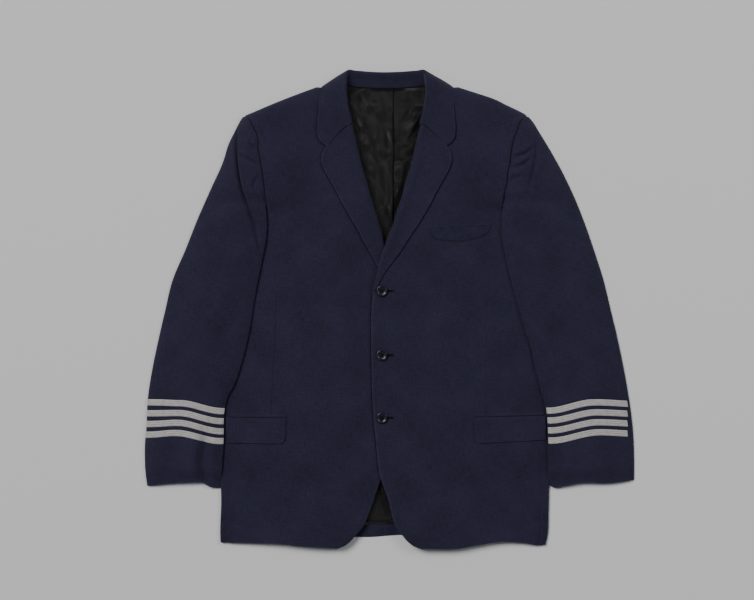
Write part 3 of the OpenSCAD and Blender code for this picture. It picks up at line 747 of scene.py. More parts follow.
def cloth_piece(name, grid, thick, s, material, slot, body="torso", nodes=(), rests_on=("back_lining",),
                uv=None, held="laid", wear_and_highlight=()):
    """A sheet of cloth that rides a body and stands for CAD nodes."""
    uv = arc_uv(grid) if uv is None else uv
    piece = sheet(name, grid, thick, s, uv, wear_and_highlight)
    return place(piece, body, material, slot, nodes, extent(uv), rests_on, held)


def padding(name, grid, thick, s, body, node):
    """A padded piece that stands for a CAD node."""
    piece = sheet(f"{name}_{SIDES[s]}", grid, thick, s)
    place(piece, body, CANVAS_CLOTH, "interlining", [f"{node}_{SIDES[s]}"])


# ---------------- back and sides

def back_height(s, x, y):
    """Middle of the back's cloth. It is raised at the neck, over the collar, and at the shoulder seam."""
    neck = 5.0 * ease(322, 346, y) * (1 - ease(112, 146, np.abs(x)))
    seam = 6.4 * (1 - ease(0, 16, below_shoulder(s, x, y)))
    wrinkle = 0.25 * np.maximum(0, 1 + waves(x, y, 70, 5)) * ease(0, 40, y - BACK_HEM_Y)
    return FLOOR_GAP + CLOTH / 2 + np.maximum(neck, seam) + wrinkle


def build_back(s):
    low = rows_between(BACK_HEM_Y, 164, 11)
    high = rows_between(168, 388, 6)
    grid = []
    for y in np.concatenate([low, high]):
        above = min(ARM_EDGE[s](y) - 0.8, shoulder_x(s, y) - 1)
        limit = max(98, side_edge(y) - (SIDE_SEAM + 0.4) if y < UNDERARM_Y else above)
        x = mix(0.2, limit, np.linspace(0, 1, 34))
        hem = (1 - ease(BACK_HEM_Y, -370, y)) * (1.9 * np.sin(s * x / 22) - 0.7)
        z = back_height(s, x, y + hem)
        grid.append(np.stack([x, y + hem, z], 1))
    cloth_piece(f"back_{SIDES[s]}", np.array(grid), CLOTH, s, WOOL, "wool", nodes=[f"back_panel_{SIDES[s]}"],
                rests_on=("floor",))


def build_side(s):
    """From the front's side seam over the fold, and back underneath to the back's seam."""
    grid = []
    for y in rows_between(BACK_HEM_Y, 167, 6):
        drop = (1 - ease(BACK_HEM_Y, -340, y)) * {LEFT: 16, RIGHT: 11.5}[s]
        edge = side_x(s, y - drop)
        x = np.linspace(edge - FRONT_SEAM, edge - FRONT_SEAM + 10, 6)
        top = front_z(s, x, y) - gutter(s, x, y) - CLOTH / 2
        low = FLOOR_GAP + CLOTH / 2
        r = (top[-1] - FLOOR_GAP - CLOTH / 2) / 2
        turn = np.linspace(math.pi / 2, -math.pi / 2, 13)
        bend = np.stack([edge - r - 0.7 + r * np.cos(turn), low + r + r * np.sin(turn)], 1)
        under = np.stack([np.linspace(edge - r - 4, edge - SIDE_SEAM, 12), np.full(12, low)], 1)
        line = np.concatenate([np.stack([x, top], 1), bend, under])
        hem = drop * ease(1.2, 4, line[:, 1])
        grid.append(np.stack([line[:, 0], y - hem, line[:, 1]], 1))
    cloth_piece(f"side_{SIDES[s]}", np.array(grid), CLOTH, s, WOOL, "wool", nodes=[f"side_panel_{SIDES[s]}"],
                rests_on=("floor",))


# Folds of the satin that show in the neck: points, depth, width, and 0 for one without a lip
LINING_FOLDS = [
    ([(-44, 374), (-36, 358), (-24, 342)], 2.4, 3.6), ([(-62, 364), (-54, 338), (-42, 309)], 2.6, 4.5),
    ([(-9, 320), (-9, 306), (-12, 290)], 1.6, 3.2), ([(-1, 320), (5, 296), (11, 270)], 2.2, 3.6),
    ([(50, 358), (42, 343), (31, 327)], 2.2, 3.6), ([(68, 352), (50, 322), (32, 294)], -2.4, 5.0),
    ([(16, 342), (17, 324), (16, 302)], 3.4, 2.6, 0), ([(17, 294), (20, 278), (16, 260)], 4.2, 3.4, 0),
    ([(15, 250), (16.5, 238), (15.5, 216)], 3.4, 2.4, 0), ([(34, 262), (26, 226), (22, 196)], -1.8, 5.5),
    ([(-30, 290), (-16, 250), (-4, 205)], -1.8, 6.0), ([(-46, 330), (-30, 300), (-18, 262)], -1.5, 5.0),
    ([(-20, 380), (-8, 360), (2, 338)], -1.2, 5.0), ([(-2, 250), (4, 210), (6, 160)], 1.4, 3.0),
]


def lining_height(x, y):
    base = 2.1 + 4.9 * ease(284, 342, y) * (1 - ease(129, 148, np.abs(x)))
    seen = ease(60, 140, y) * (1 - ease(70, 110, np.abs(x)))
    soft = 0.5 * waves(x, y, 60, 21) + (1.6 * waves(x, y, 22, 23) + 0.7 * waves(x, y, 12, 22)) * seen
    folds = creased(soft, x, y, LINING_FOLDS, 1.9) * (0.3 + 0.7 * seen)
    # It rises towards the right front's lapel, out of the neck's opening
    beside = 1 - ease(-1, 12, x + front_edge(RIGHT, y))
    fall = 3.0 * beside * ease(95, 150, y) * (1 - ease(355, 375, y)) * seen
    pleat = 3.6 * ease(-52, 11, x) * (1 - ease(13.4, 14.4, x)) * ease(-340, -300, y)
    fade = ease(LINING_HEM_Y, LINING_HEM_Y + 30, y) * (1 - ease(382, 389, y))
    deep = 1.8 * ease(125, 190, y) * (1 - ease(70, 110, np.abs(x)))
    hem = 1.3 * (1 - ease(1, 9, y - LINING_HEM_Y)) * (1 + 0.35 * np.sin(x / 8))
    lowest = -0.5 - deep
    return base + deep + hem + fall + np.maximum(folds * fade + 0.5, lowest) + pleat * fade


def lining_edge(s, y):
    if y < 170:
        return min(side_edge(y) - 18, 244)
    return min(ARM_EDGE[s](min(y, 330)) - 4, shoulder_x(s, y + 4))


def build_back_lining():
    """Its columns are close together beside the pleat, and spread towards both sides."""
    close = [9, 12, 13.0, 13.5, 14.0, 14.6, 16, 19]
    spread = np.linspace(0, 1, 12) ** 1.2
    grid = []
    rows = np.concatenate([rows_between(LINING_HEM_Y, 60, 9), rows_between(63, 389.5, 2.6)])
    for y in rows:
        edge = {s: lining_edge(s, y) for s in (LEFT, RIGHT)}
        right = mix(-76, -edge[RIGHT], spread)[::-1]
        left = mix(76, edge[LEFT], spread)[1:]
        x = np.concatenate([right, np.linspace(-76, 7, 34)[1:], close, np.linspace(22, 76, 22), left])
        wavy = y + (1.6 * np.sin(x / 13) + 0.8) * (1 - ease(0, 30, y - LINING_HEM_Y))
        grid.append(np.stack([x, wavy, lining_height(x, y)], 1))
    cloth_piece("back_lining_satin", np.array(grid), SATIN, LEFT, SATIN_CLOTH, "satin",
                nodes=["back_lining"], rests_on=("back_left", "back_right"))
    lining_hem()


def lining_hem():
    """The lining's turned-up edge, a thin fold just below its hem."""
    x = np.linspace(-196, 196, 120)
    grid = []
    for rise, z in ((-4.6, 1.9), (-4, 2.3), (-1.5, 2.4), (7, 2.15)):
        grid.append(np.stack([x, LINING_HEM_Y + rise + 0.7 * np.sin(x / 31), np.full(len(x), z)], 1))
    cloth_piece("back_lining_hem", np.array(grid), 0.5, LEFT, SATIN_CLOTH, "satin",
                rests_on=("back_left", "back_right"), held="folded")
    # A dark thread along the fold: painted shadow under the lining's turned edge
    x = np.linspace(-60, 60, 90)
    y = LINING_HEM_Y + 2.4 + 1.1 * np.sin(x / 8.5)
    line = tube(np.column_stack([x, y, lining_height(x, y) + 0.5]), 0.45)
    place(joined("lining_hem_fold_shadow", [line]), "torso", THREAD, "thread")


for side in (LEFT, RIGHT):
    build_back(side)
    build_side(side)
build_back_lining()


# ---------------- fronts

def edge_thickness(grid):
    """The front's cloth is a little thicker along its turned edge."""
    edge = grid[:, :1, 0]
    return CLOTH + 0.7 * (1 - ease(1.5, 9, grid[..., 0] - edge)) * (grid[..., 1] < BREAK_Y)


def front_rows():
    return np.concatenate([rows_between(FRONT_LOW, -401, 2.2), rows_between(-398, 26, 4),
                           rows_between(29, 336, 3.4), rows_between(338.5, 387, 3.2)])


def build_front(s):
    grid = front_grid(s, front_rows())
    x, y = grid[..., 0], grid[..., 1]
    seam = dart_x(s, y)
    depth = ease(-196, -186, y) * (1 - ease(8, 24, y))
    grid[..., 2] -= 0.85 * depth * np.exp(-((x - seam) / 0.8) ** 2)
    grid[..., 2] += 0.35 * depth * np.exp(-((np.abs(x - seam) - 2.6) / 1.4) ** 2)
    # It rolls down a little along the front edge, the armhole and the shoulder seam
    grid[..., 2] -= 1.1 * (1 - ease(0, 2.6, x - grid[:, :1, 0])) * (y < BREAK_Y)
    away = grid[:, -1:, 0] - x
    grid[..., 2] -= 1.5 * (1 - ease(0, 3.4, away)) * (y > UNDERARM_Y)
    # The turned-up hem makes a soft step
    grid[..., 2] += 0.5 * (1 - ease(36, 46, y - FRONT_LOW))
    thick = edge_thickness(grid)
    middle = lowered(grid, thick / 2)
    # Its front edge and hem are paled: partly abrasion, partly a painted highlight
    cloth_piece(f"front_{SIDES[s]}", middle, thick, s, WOOL, "wool", nodes=[f"front_panel_{SIDES[s]}"],
                rests_on=("back_lining_satin",), wear_and_highlight=("first_col", "first_row"))


def plain_grid(s, rows, x_of, drop, n):
    """A grid that lies drop below the front's outer face, from x_of(y)'s inner to its outer x."""
    grid = []
    for y in rows:
        inner, outer = x_of(y)
        x = np.linspace(inner, outer, n)
        d = drop(x, y) if callable(drop) else drop
        grid.append(np.stack([x, np.full(n, y), front_z(s, x, y) - d], 1))
    return np.array(grid)


def build_facing(s):
    def span(y):
        inner = front_edge(s, y) + (1.2 if y < BREAK_Y else 4.5)
        return inner, inner + min(72, front_limit(s, y) - inner - 20)
    grid = plain_grid(s, rows_between(-412, 366, 7), span, 0, 26)
    curl = 1 - ease(0, 7, grid[..., 0] - grid[:, :1, 0])
    below_break = grid[..., 1] < BREAK_Y
    grid[..., 2] -= np.where(below_break, mix(3.5, 2.7, curl), 3.5)
    cloth_piece(f"facing_{SIDES[s]}", grid, 0.8, s, WOOL, "wool", nodes=[f"front_facing_{SIDES[s]}"])


def build_canvas(s):
    span = lambda y: (front_edge(s, y) + 6, mix(front_edge(s, y), front_limit(s, y), 0.7))
    grid = plain_grid(s, rows_between(-120, 362, 9), span, 2.2, 24)
    cloth_piece(f"canvas_{SIDES[s]}", grid, 0.8, s, CANVAS_CLOTH, "interlining",
                nodes=[f"chest_canvas_{SIDES[s]}"])


def pad_thickness(x, y):
    return 1.2 + 5 * ease(130, 225, x) * ease(225, 300, y) * (1 - 0.5 * ease(315, 345, y))


def build_pad(s):
    span = lambda y: (128 + (y - 240) * 0.1, front_limit(s, y) - 6)
    grid = plain_grid(s, rows_between(236, 330, 6), span, 0, 18)
    thick = pad_thickness(grid[..., 0], grid[..., 1])
    grid[..., 2] -= 3.0 + thick / 2
    padding("shoulder_padding", grid, thick, s, "torso", "shoulder_pad")


def build_front_lining(s):
    def drop(x, y):
        under_pad = ease(100, 128, x) * ease(215, 238, y) * (pad_thickness(x, y) + 0.5)
        return 4.5 + under_pad
    span = lambda y: (front_edge(s, y) + 78, front_limit(s, y) - (21 if y < UNDERARM_Y + 1 else 7))
    grid = plain_grid(s, rows_between(-390, 340, 8), span, drop, 26)
    cloth_piece(f"lining_{SIDES[s]}", grid, SATIN, s, SATIN_CLOTH, "satin",
                nodes=[f"front_lining_{SIDES[s]}"])


def build_plies(s, name, node, grids, thick, held):
    """Two pieces of satin, numbered from 1. The first stands for the CAD node."""
    for k, grid in enumerate(grids):
        nodes = () if k else [f"{node}_{SIDES[s]}"]
        cloth_piece(f"{name}_{SIDES[s]}_{k + 1}", grid, thick, s, SATIN_CLOTH, "satin", nodes=nodes,
                    held=held)


def build_inner_pocket(s):
    span = lambda y: (84, 158)
    grids = [plain_grid(s, np.linspace(y, y + 5, 4), span, 5.3, 30) for y in (118, 112)]
    build_plies(s, "inner_pocket_lip", "inner_pocket", grids, 0.7, "folded")


def build_pocket_bag(s):
    low, high = FLAP_SPAN[s]
    span = lambda y: (low + 4, high - 24)
    grids = [plain_grid(s, rows_between(-352, FLAP_Y[s] + 2, 8), span, drop, 16) for drop in (1.75, 2.5)]
    build_plies(s, "pocket_bag_ply", "pocket_bag", grids, 0.4, "laid")


for side in (LEFT, RIGHT):
    build_front(side)
    build_facing(side)
    build_canvas(side)
    build_pad(side)
    build_front_lining(side)
    build_inner_pocket(side)
    build_pocket_bag(side)


# ---------------- lapels

def lapel_section(s, y):
    """Across one lapel at height y: from the inside, round the fold, and out to the edge."""
    c = front_edge(s, y)
    edge = max(lapel_edge(s, y), c + 1.6)
    face = lambda x: front_z_at(s, x, y)
    roll = ease(88, 150, y) if s == RIGHT else ease(45, 105, y)
    width = edge - c
    f = face(c + 1.5)
    reach = min(9, 2 + width * 0.5)
    inside = [(c + reach, face(c + reach) - 4.1), (c + 2.6, f - 3.9), (c - 0.1, f - 2.2), (c - 0.9, f + 0.1)]
    lift = 1.8 + 2.9 * roll
    top = [(c - 0.2 + 0.7 * roll, f + 0.55 * lift + 0.3), (c + 1.4 + 2.2 * roll, f + lift)]
    outer = []
    for q in (0.3, 0.5, 0.7, 0.86, 1.0):
        x = mix(c, edge, q)
        if x < c + 4.5 + 2 * roll and q < 1:
            continue
        settle = (lift - 1.75) * (1 - q) ** 1.6
        curl = 1.1 * ease(0.7, 1, q) * ease(60, 120, y)
        outer.append((x, face(x) + 1.9 + settle + curl))
    return np.array(inside + top + outer)


def build_lapel(s):
    rows = np.concatenate([rows_between(33, 262, 3.2), rows_between(264.5, 322, 2.2)])
    grid = []
    for y in rows:
        line = smooth_path(lapel_section(s, y), 44)
        lean = 0.35 * waves(line[:, 0], np.full(44, y), 55, 31 + s)
        height = line[:, 1] + lean * ease(0, 12, line[:, 0] - line[:, 0].min()) * ease(60, 110, y)
        grid.append(np.stack([line[:, 0], np.full(44, y), height], 1))
    grid = np.array(grid)
    thick = np.broadcast_to(LAPEL_PLY - 0.5 * (1 - ease(33, 60, rows))[:, None], grid.shape[:2])
    # The lapel's outer edge is paled: partly abrasion, partly a painted highlight
    cloth_piece(f"lapel_turn_{SIDES[s]}", grid, thick, s, WOOL, "wool", nodes=[f"lapel_{SIDES[s]}"],
                rests_on=(f"front_{SIDES[s]}",), held="folded", wear_and_highlight=("last_col",))


for side in (LEFT, RIGHT):
    build_lapel(side)


# ---------------- collar

# Section by section from the notch to the centre back: foot, stand, fold and outer edge
COLLAR = [
    [(67, 320, 17.2), (59.2, 322, 20.0), (61, 323.5, 25.2), (101.5, 285, 22.8)],
    [(68, 326, 17.2), (60.2, 328, 20.2), (62, 329.5, 25.5), (110.5, 290, 22.8)],
    [(69.5, 331, 17.2), (61.5, 333.5, 20.4), (63.2, 335, 25.8), (116.8, 297.5, 23.0)],
    [(71.5, 338, 17.2), (63.8, 341, 20.6), (65.3, 342, 26.2), (119.6, 308, 23.0)],
    [(74.5, 351, 17.0), (66.7, 353, 21.0), (68, 354, 26.8), (119.6, 327, 22.8)],
    [(76.5, 369, 15.5), (69, 371, 21.0), (70.2, 371, 27.4), (117.6, 350, 21.4)],
    [(75, 384, 12.8), (70.2, 388, 20.0), (71.2, 390, 27.6), (115.4, 371, 18.0)],
    [(69, 391, 10.6), (69.4, 398, 18.2), (70.2, 406, 25.8), (114, 382, 13.8)],
    [(62, 391.3, 9.8), (65.0, 402, 15.8), (66, 416.5, 21.6), (110, 390, 8.6)],
    [(49, 389.6, 9.6), (51.0, 401, 13.2), (52, 415.2, 17.4), (95, 389, 3.4)],
    [(28, 388.0, 10.2), (28.0, 400, 12.4), (28, 413.4, 15.2), (52, 377, 1.5)],
    [(0, 387.4, 10.2), (0.0, 399.5, 12.1), (0, 412.6, 14.6), (0, 371, 1.5)],
]
COLLAR_CENTRE = 2.2
COLLAR_PLY = 2.4


def collar_point(part, k):
    table = np.array([section[part] for section in COLLAR], float)
    mirrored = np.concatenate([table, table[-2:-4:-1] * (-1, 1, 1)])
    return np.array([curve(np.stack([np.arange(len(mirrored)), mirrored[:, a]], 1))(k) for a in range(3)])


def collar_section(k):
    foot, stand, fold, edge = (collar_point(part, k) for part in range(4))
    behind = ease(7, 9.5, k)
    corner = max(0, 1 - k / 3)
    front_knee = mix(fold, edge, 0.4) + (4 * corner, 10 * corner, 1.6)
    knee = mix(front_knee, np.array([mix(fold[0], edge[0], 0.05), fold[1] + 6.5, 1.2]), behind)
    leaf = [(1 - t) ** 2 * fold + 2 * t * (1 - t) * knee + t * t * edge for t in (0.16, 0.34, 0.54, 0.76, 1)]
    return smooth_path([foot, stand, fold, *leaf], 52)


def collar_grid():
    last = len(COLLAR) - 1
    ks = np.concatenate([np.linspace(0, 3, 22, endpoint=False), np.linspace(3, last, 62)])
    half = np.array([collar_section(k) for k in ks])
    whole = np.concatenate([half * (-1, 1, 1), half[-2::-1]])
    soft = 0.3 * waves(whole[..., 0], whole[..., 1], 34, 41)
    whole[..., 2] += soft * ease(12, 22, whole[..., 2])
    x, y = whole[..., 0], whole[..., 1]
    left_corner = 3.5 * ease(70, 108, x) * ease(372, 392, y) * (1 - ease(400, 412, y))
    whole[..., 0] = x + COLLAR_CENTRE * ease(0, 60, np.abs(x)) + left_corner
    return whole


def collar_uv(grid):
    along = path_lengths(grid[:, 30])
    across = np.cumsum(np.linalg.norm(np.diff(grid, axis=1), axis=-1), axis=1).mean(0)
    u, v = np.meshgrid(along - along.mean(), np.concatenate([[0], across]), indexing="ij")
    return np.stack([u, v], -1)


def build_collar():
    grid = collar_grid()
    uv = collar_uv(grid)
    # The collar's outer edge is paled: partly abrasion, partly a painted highlight
    cloth_piece("collar", grid, COLLAR_PLY, LEFT, WOOL, "wool", nodes=["top_collar", "collar_stand"],
                rests_on=("front_left", "front_right"), uv=uv, held="folded", wear_and_highlight=("last_col",))
    leaf = grid[6:-6, 22:51]
    under = leaf + normals(leaf) * (COLLAR_PLY / 2 + 0.6)
    cloth_piece("collar_melton", under, 0.9, LEFT, MELTON, "wool", nodes=["under_collar"],
                rests_on=("front_left", "front_right"), uv=uv[6:-6, 22:51], held="folded")
    build_painted_shadow_cords(grid)


def build_painted_shadow_cords(collar):
    """Fine dark cords laid as painted shadow, where a seam or the gap under an edge is seen as a dark line.
    """
    # Painted shadow under the edge of the right lapel
    y = np.linspace(60, 284, 110)
    edge = np.stack([lapel_edge(RIGHT, y), y], 1)
    edge = edge + 1.75 * unit(np.gradient(edge, axis=0))[:, ::-1] * (1, -1)
    parts = [tube(on_front(RIGHT, edge[:, 0], edge[:, 1], 0.8), 0.55, s=RIGHT)]
    # Painted shadow under the collar's edge on the right
    outward = unit((collar[:, -1] - collar[:, -3]) * (1, 1, 0))
    hem = collar[:, -1] + 1.6 * outward - (0, 0, 1.1)
    parts += [tube(part, 0.5) for part in (hem[:58], hem[-58:]) if part[0, 0] < 0]
    # Painted shadow in the seams of both armholes
    for s in (LEFT, RIGHT):
        y = np.linspace(176, 333, 80)
        parts.append(tube(on_front(s, ARM_EDGE[s](y) - 1.5, y, 0.05), 0.38, s=s))
    # Painted shadow under the edge of the left front
    y = np.linspace(-284, 26, 80)
    x = front_edge(LEFT, y) - 1.7
    parts.append(tube(np.column_stack([x, y, front_z(RIGHT, -x, y) + 0.5]), 0.6))
    # Painted shadow in the neck seam
    x = np.linspace(-60, 64, 60)
    y = 386.4 + 3.6 * (np.abs(x) / 62) ** 2.2 + 0.3 * np.sin(x * 1.3)
    parts.append(tube(np.column_stack([x, y, lining_height(x, y) + 1.5]), 0.55))
    place(joined("painted_shadow_cords", parts), "torso", THREAD, "thread")


build_collar()


# ---------------- trim on the fronts

PATCH_LOW = curve([(77, 141), (79.5, 131), (84, 125), (95, 120.5), (110, 118.6), (133, 118), (150, 120.5),
                   (166, 125.5), (177, 130), (183, 138), (187, 147)])


def patch_high(x):
    return 142.5 + 0.06 * (x - 77)


def patch_point(x, v):
    """A point of the breast patch, v from its lower edge to its upper one."""
    return mix(PATCH_LOW(x), patch_high(x), v)


def patch_stitching(inset=1.7, length=2.0, zigzag=0.35):
    """Short slanting stitches round the patch, each a small thread."""
    x = np.linspace(79.5, 184.5, 60)
    low = np.stack([x, PATCH_LOW(x) + inset], 1)
    high = np.stack([x, patch_high(x) - inset], 1)[::-1]
    line = np.concatenate([low, high, low[:1]])
    along = path_lengths(line)
    count = int(along[-1] / (length * 1.25))
    parts = []
    for k in range(count):
        a = k * along[-1] / count
        t = np.linspace(a, a + length, 4)
        p = np.stack([np.interp(t, along, line[:, i]) for i in range(2)], 1)
        d = unit(p[-1] - p[0])
        p = p + np.outer(np.linspace(-zigzag, zigzag, 4), (-d[1], d[0])) * (1 if k % 2 else -1)
        z = front_z(LEFT, p[:, 0], p[:, 1]) + FELT + 0.3 + 0.25 * np.array([0.1, 1, 1, 0.1])
        parts.append(tube(np.column_stack([p, z]), 0.4, 5))
    place(joined("wings_patch_stitching", parts), "torso", PATCH_THREAD, "thread")


def build_patch():
    us = np.linspace(77, 187, 60)
    vs = np.linspace(0, 1, 16)
    x = np.broadcast_to(us, (16, 60))
    y = patch_point(x, vs[:, None])
    puff = 0.25 * np.sin(math.pi * vs)[:, None] ** 0.5 + 0.12 * waves(x, y, 16, 51)
    z = front_z(LEFT, x, y) + FELT / 2 + 0.15 + puff
    cloth_piece("wings_patch_felt", np.stack([x, y, z], -1), FELT, LEFT, BADGE_FELT, "badge_felt",
                nodes=["wings_patch"], rests_on=("front_left",))
    patch_stitching()


def welt_y(s, x):
    """The pocket's line. It rises a little outwards."""
    return FLAP_Y[s] + WELT_SLOPE[s] * (x - FLAP_SPAN[s][0])


def build_welt(s):
    low, high = FLAP_SPAN[s]
    x = np.linspace(low - 1.5, high - 3, 50)
    grid = []
    for v in np.linspace(0, 1, 8):
        y = welt_y(s, x) + 1.9 + 3.9 * v
        puff = 1.2 * math.sin(math.pi * (0.2 + 0.72 * v)) ** 0.7
        grid.append(np.stack([x, y, front_z(s, x, y) + 0.1 + puff], 1))
    # The jetting's lower edge is paled: partly abrasion, partly a painted highlight
    cloth_piece(f"pocket_jetting_{SIDES[s]}", np.array(grid), 1.2, s, WOOL, "wool",
                nodes=[f"pocket_welt_{SIDES[s]}"], rests_on=(f"front_{SIDES[s]}",), held="folded",
                wear_and_highlight=("first_row",))
    # A dark thread along the pocket's opening: painted shadow in the slit under the jetting
    mouth = np.linspace(low - 1, high - 5, 50)
    slit = tube(on_front(s, mouth, welt_y(s, mouth) + 1.0, 1.0), 0.75, s=s)
    place(joined(f"pocket_mouth_shadow_{SIDES[s]}", [slit]), "torso", THREAD, "thread")


def flap_grid(s, base, margin, top=1.0):
    """Points of one ply of the flap. Its top dips under the pocket's jetting."""
    low, high = FLAP_SPAN[s]
    x0 = np.concatenate([np.linspace(0, 10, 12), np.linspace(13, high - low - 2 * margin, 34)])
    to_arc = FLAP_CORNER - np.clip(x0, 0, FLAP_CORNER)
    bottom = FLAP_H[s] - margin - (FLAP_CORNER - np.sqrt(np.maximum(FLAP_CORNER ** 2 - to_arc ** 2, 0)))
    rows = []
    for v in np.concatenate([[0, 0.02, 0.05], np.linspace(0.1, 0.9, 12), [0.94, 0.97, 1]]) * top:
        x = low + margin + x0
        y = welt_y(s, x) - (bottom - FLAP_TAPER[s] * x0) * (1 - v)
        settle = -0.9 * ease(0.9, 1, v) + 0.3 * waves(x, y, 30, 61 + s) * (1 - v)
        rows.append(np.stack([x, y, front_z(s, x, y) + base + settle], 1))
    return np.array(rows)


def build_flap(s):
    body = f"flap_{SIDES[s]}"
    outer = flap_grid(s, 1.95, 0)
    # The flap's lower edge and one end are paled: partly abrasion, partly a painted highlight
    cloth_piece(f"pocket_flap_cloth_{SIDES[s]}", outer, CLOTH, s, WOOL, "wool", body=body,
                nodes=[f"pocket_flap_{SIDES[s]}"], rests_on=(f"front_{SIDES[s]}",),
                wear_and_highlight=("first_row", "first_col"))
    inner = flap_grid(s, 0.85, 1.6, top=0.88)
    cloth_piece(f"pocket_flap_lining_{SIDES[s]}", inner, 0.5, s, SATIN_CLOTH, "satin", body=body,
                nodes=[f"flap_lining_{SIDES[s]}"], rests_on=(f"front_{SIDES[s]}",))


# How far the points of a stitch stand above the cloth, from the hole's slit outwards
PURL_RISE, EYE_RISE = (0.15, 0.62, 0.45, 0.05), (0.35, 0.55, 0.05)


def build_buttonholes():
    """A rim of close stitches along both sides of each hole and round its eye, with a cord on each side."""
    parts = []
    low, high = BUTTON_X - 2, 15
    for y in BUTTON_Y.values():
        for side in (1, -1):
            for x in np.arange(low, high - 1.5, 0.62):
                wobble = 0.12 * math.sin(x * 7.1 + side)
                across = y + side * np.array([0.25, 0.7, 1.5, 1.9]) + wobble
                parts.append(tube(on_front(LEFT, np.full(4, x), across, PURL_RISE), 0.3, 5))
            cord = on_front(LEFT, np.linspace(low, high, 24), np.full(24, y), 0.5)
            cord[:, 1] += side * 0.62
            parts.append(tube(cord, 0.36))
        for a in np.linspace(-1.35, 1.35, 7):
            r = np.array([0.5, 1.1, 1.8])
            spoke = on_front(LEFT, high - 1 + r * math.cos(a), y + r * math.sin(a), EYE_RISE)
            parts.append(tube(spoke, 0.32, 5))
    place(joined("buttonhole_stitching", parts), "torso", THREAD, "thread", ["buttonholes"])


build_patch()
for side in (LEFT, RIGHT):
    build_welt(side)
    build_flap(side)
build_buttonholes()


# ---------------- buttons

BUTTON_R, HOLE_R, HOLE_PITCH = 9.7, 1.15, 3.5
BUTTON_TURN = {"top": 0.12, "middle": -0.2, "bottom": 0.35}


def button_foot(y):
    return front_z_at(LEFT, BUTTON_X, y) + 1.5


def lathe(profile, sides):
    """A solid of revolution round the z axis from (r, z) points that start and end at r = 0."""
    profile = np.array(profile, float)
    angle = np.arange(sides) * math.tau / sides
    ring = np.stack([np.cos(angle), np.sin(angle)], 1)
    points = [np.array([[0, 0, profile[0, 1]]])]
    for r, z in profile[1:-1]:
        points.append(np.column_stack([r * ring, np.full(sides, z)]))
    points.append(np.array([[0, 0, profile[-1, 1]]]))
    faces = [(0, 1 + (k + 1) % sides, 1 + k) for k in range(sides)]
    faces += ring_faces(len(profile) - 2, sides, start=1)
    last = 1 + (len(profile) - 3) * sides
    faces += [(last + k, last + (k + 1) % sides, last + sides) for k in range(sides)]
    return np.concatenate(points), faces


def apply_modifier(piece, kind, **settings):
    modifier = piece.modifiers.new(kind.lower(), kind)
    for name, value in settings.items():
        setattr(modifier, name, value)
    settled = piece.evaluated_get(bpy.context.evaluated_depsgraph_get())
    mesh = bpy.data.meshes.new_from_object(settled)
    piece.modifiers.clear()
    piece.data = mesh


def build_button(name, y, turn):
    """A four-hole button with a rounded rim round a shallow dish. Its holes are cut by four pins."""
    rim = [(BUTTON_R - 1.55 + 1.55 * math.cos(a), 1.75 + 1.6 * math.sin(a))
           for a in np.linspace(-1.35, 1.9, 13)]
    dish = [(7.2, 2.75), (6.5, 2.35), (5.6, 2.1), (3, 1.98), (0, 1.95)]
    points, faces = lathe([(0, 0), (BUTTON_R - 2.4, 0.02), *rim, *dish], 72)
    button = make_mesh(f"button_{name}", points, faces, points[:, :2])
    pin_profile = [(0, -1), (HOLE_R, -1), (HOLE_R, 1.5), (HOLE_R + 0.35, 2.6), (0, 2.6)]
    pins = []
    for sx in (-1, 1):
        for sy in (-1, 1):
            pin, pin_faces = lathe(pin_profile, 20)
            pins.append((pin + (sx * HOLE_PITCH / 2, sy * HOLE_PITCH / 2, 0), pin_faces))
    cutter = joined("button_pins", pins)
    apply_modifier(button, "BOOLEAN", object=cutter, operation="DIFFERENCE", solver="EXACT")
    bpy.data.objects.remove(cutter)
    apply_modifier(button, "EDGE_SPLIT", split_angle=math.radians(45))
    button.location = (BUTTON_X * MM, y * MM, button_foot(y) * MM)
    button.rotation_euler = (math.radians(1.5), math.radians(-1.2), turn)
    place(button, f"button_{name}", BUTTON, "button", [f"front_button_{name}"])
    build_button_thread(name, y, turn)


def build_button_thread(name, y, turn):
    """Strands crossed between the four holes, and the wound shank between button and cloth."""
    foot, low = button_foot(y), front_z_at(RIGHT, -BUTTON_X, y) + 0.3
    h = HOLE_PITCH / 2
    parts = []
    c, w = math.cos(turn), math.sin(turn)
    spin = np.array([[c, w, 0], [-w, c, 0], [0, 0, 1]])
    for sx, sy in ((1, 1), (1, -1)):
        d = np.array([sx, sy]) / math.sqrt(2)
        for off in (-0.55, -0.18, 0.18, 0.55):
            side = np.array([-d[1], d[0]]) * off
            t = np.array([-1, -0.98, -0.8, -0.4, 0, 0.4, 0.8, 0.98, 1])
            z = np.array([0.2, 1.6, 2.45, 2.7, 2.75, 2.7, 2.45, 1.6, 0.2]) + (0.25 if sy > 0 else 0)
            p = np.column_stack([np.outer(t, (sx * h, sy * h)) + side, z])
            parts.append(tube(p @ spin, 0.24))
    a = np.linspace(0, math.tau * 7, 130)
    r = 1.5 + 0.4 * np.cos(np.linspace(0, math.pi, 130)) ** 2
    wound = np.column_stack([r * np.cos(a), r * np.sin(a), np.linspace(-0.25, low - foot + 0.3, 130)])
    parts.append(tube(wound, 0.42))
    core, core_faces = lathe([(0, low - foot), (1.4, low - foot), (1.3, -0.1), (0, -0.1)], 16)
    parts.append((core, core_faces))
    parts = [(p + (BUTTON_X, y, foot), f) for p, f in parts]
    place(joined(f"thread_{name}", parts), f"button_{name}", THREAD, "thread", [f"button_thread_{name}"])


for button_name, height in BUTTON_Y.items():
    build_button(button_name, height, BUTTON_TURN[button_name])


# ---------------- hanger loop

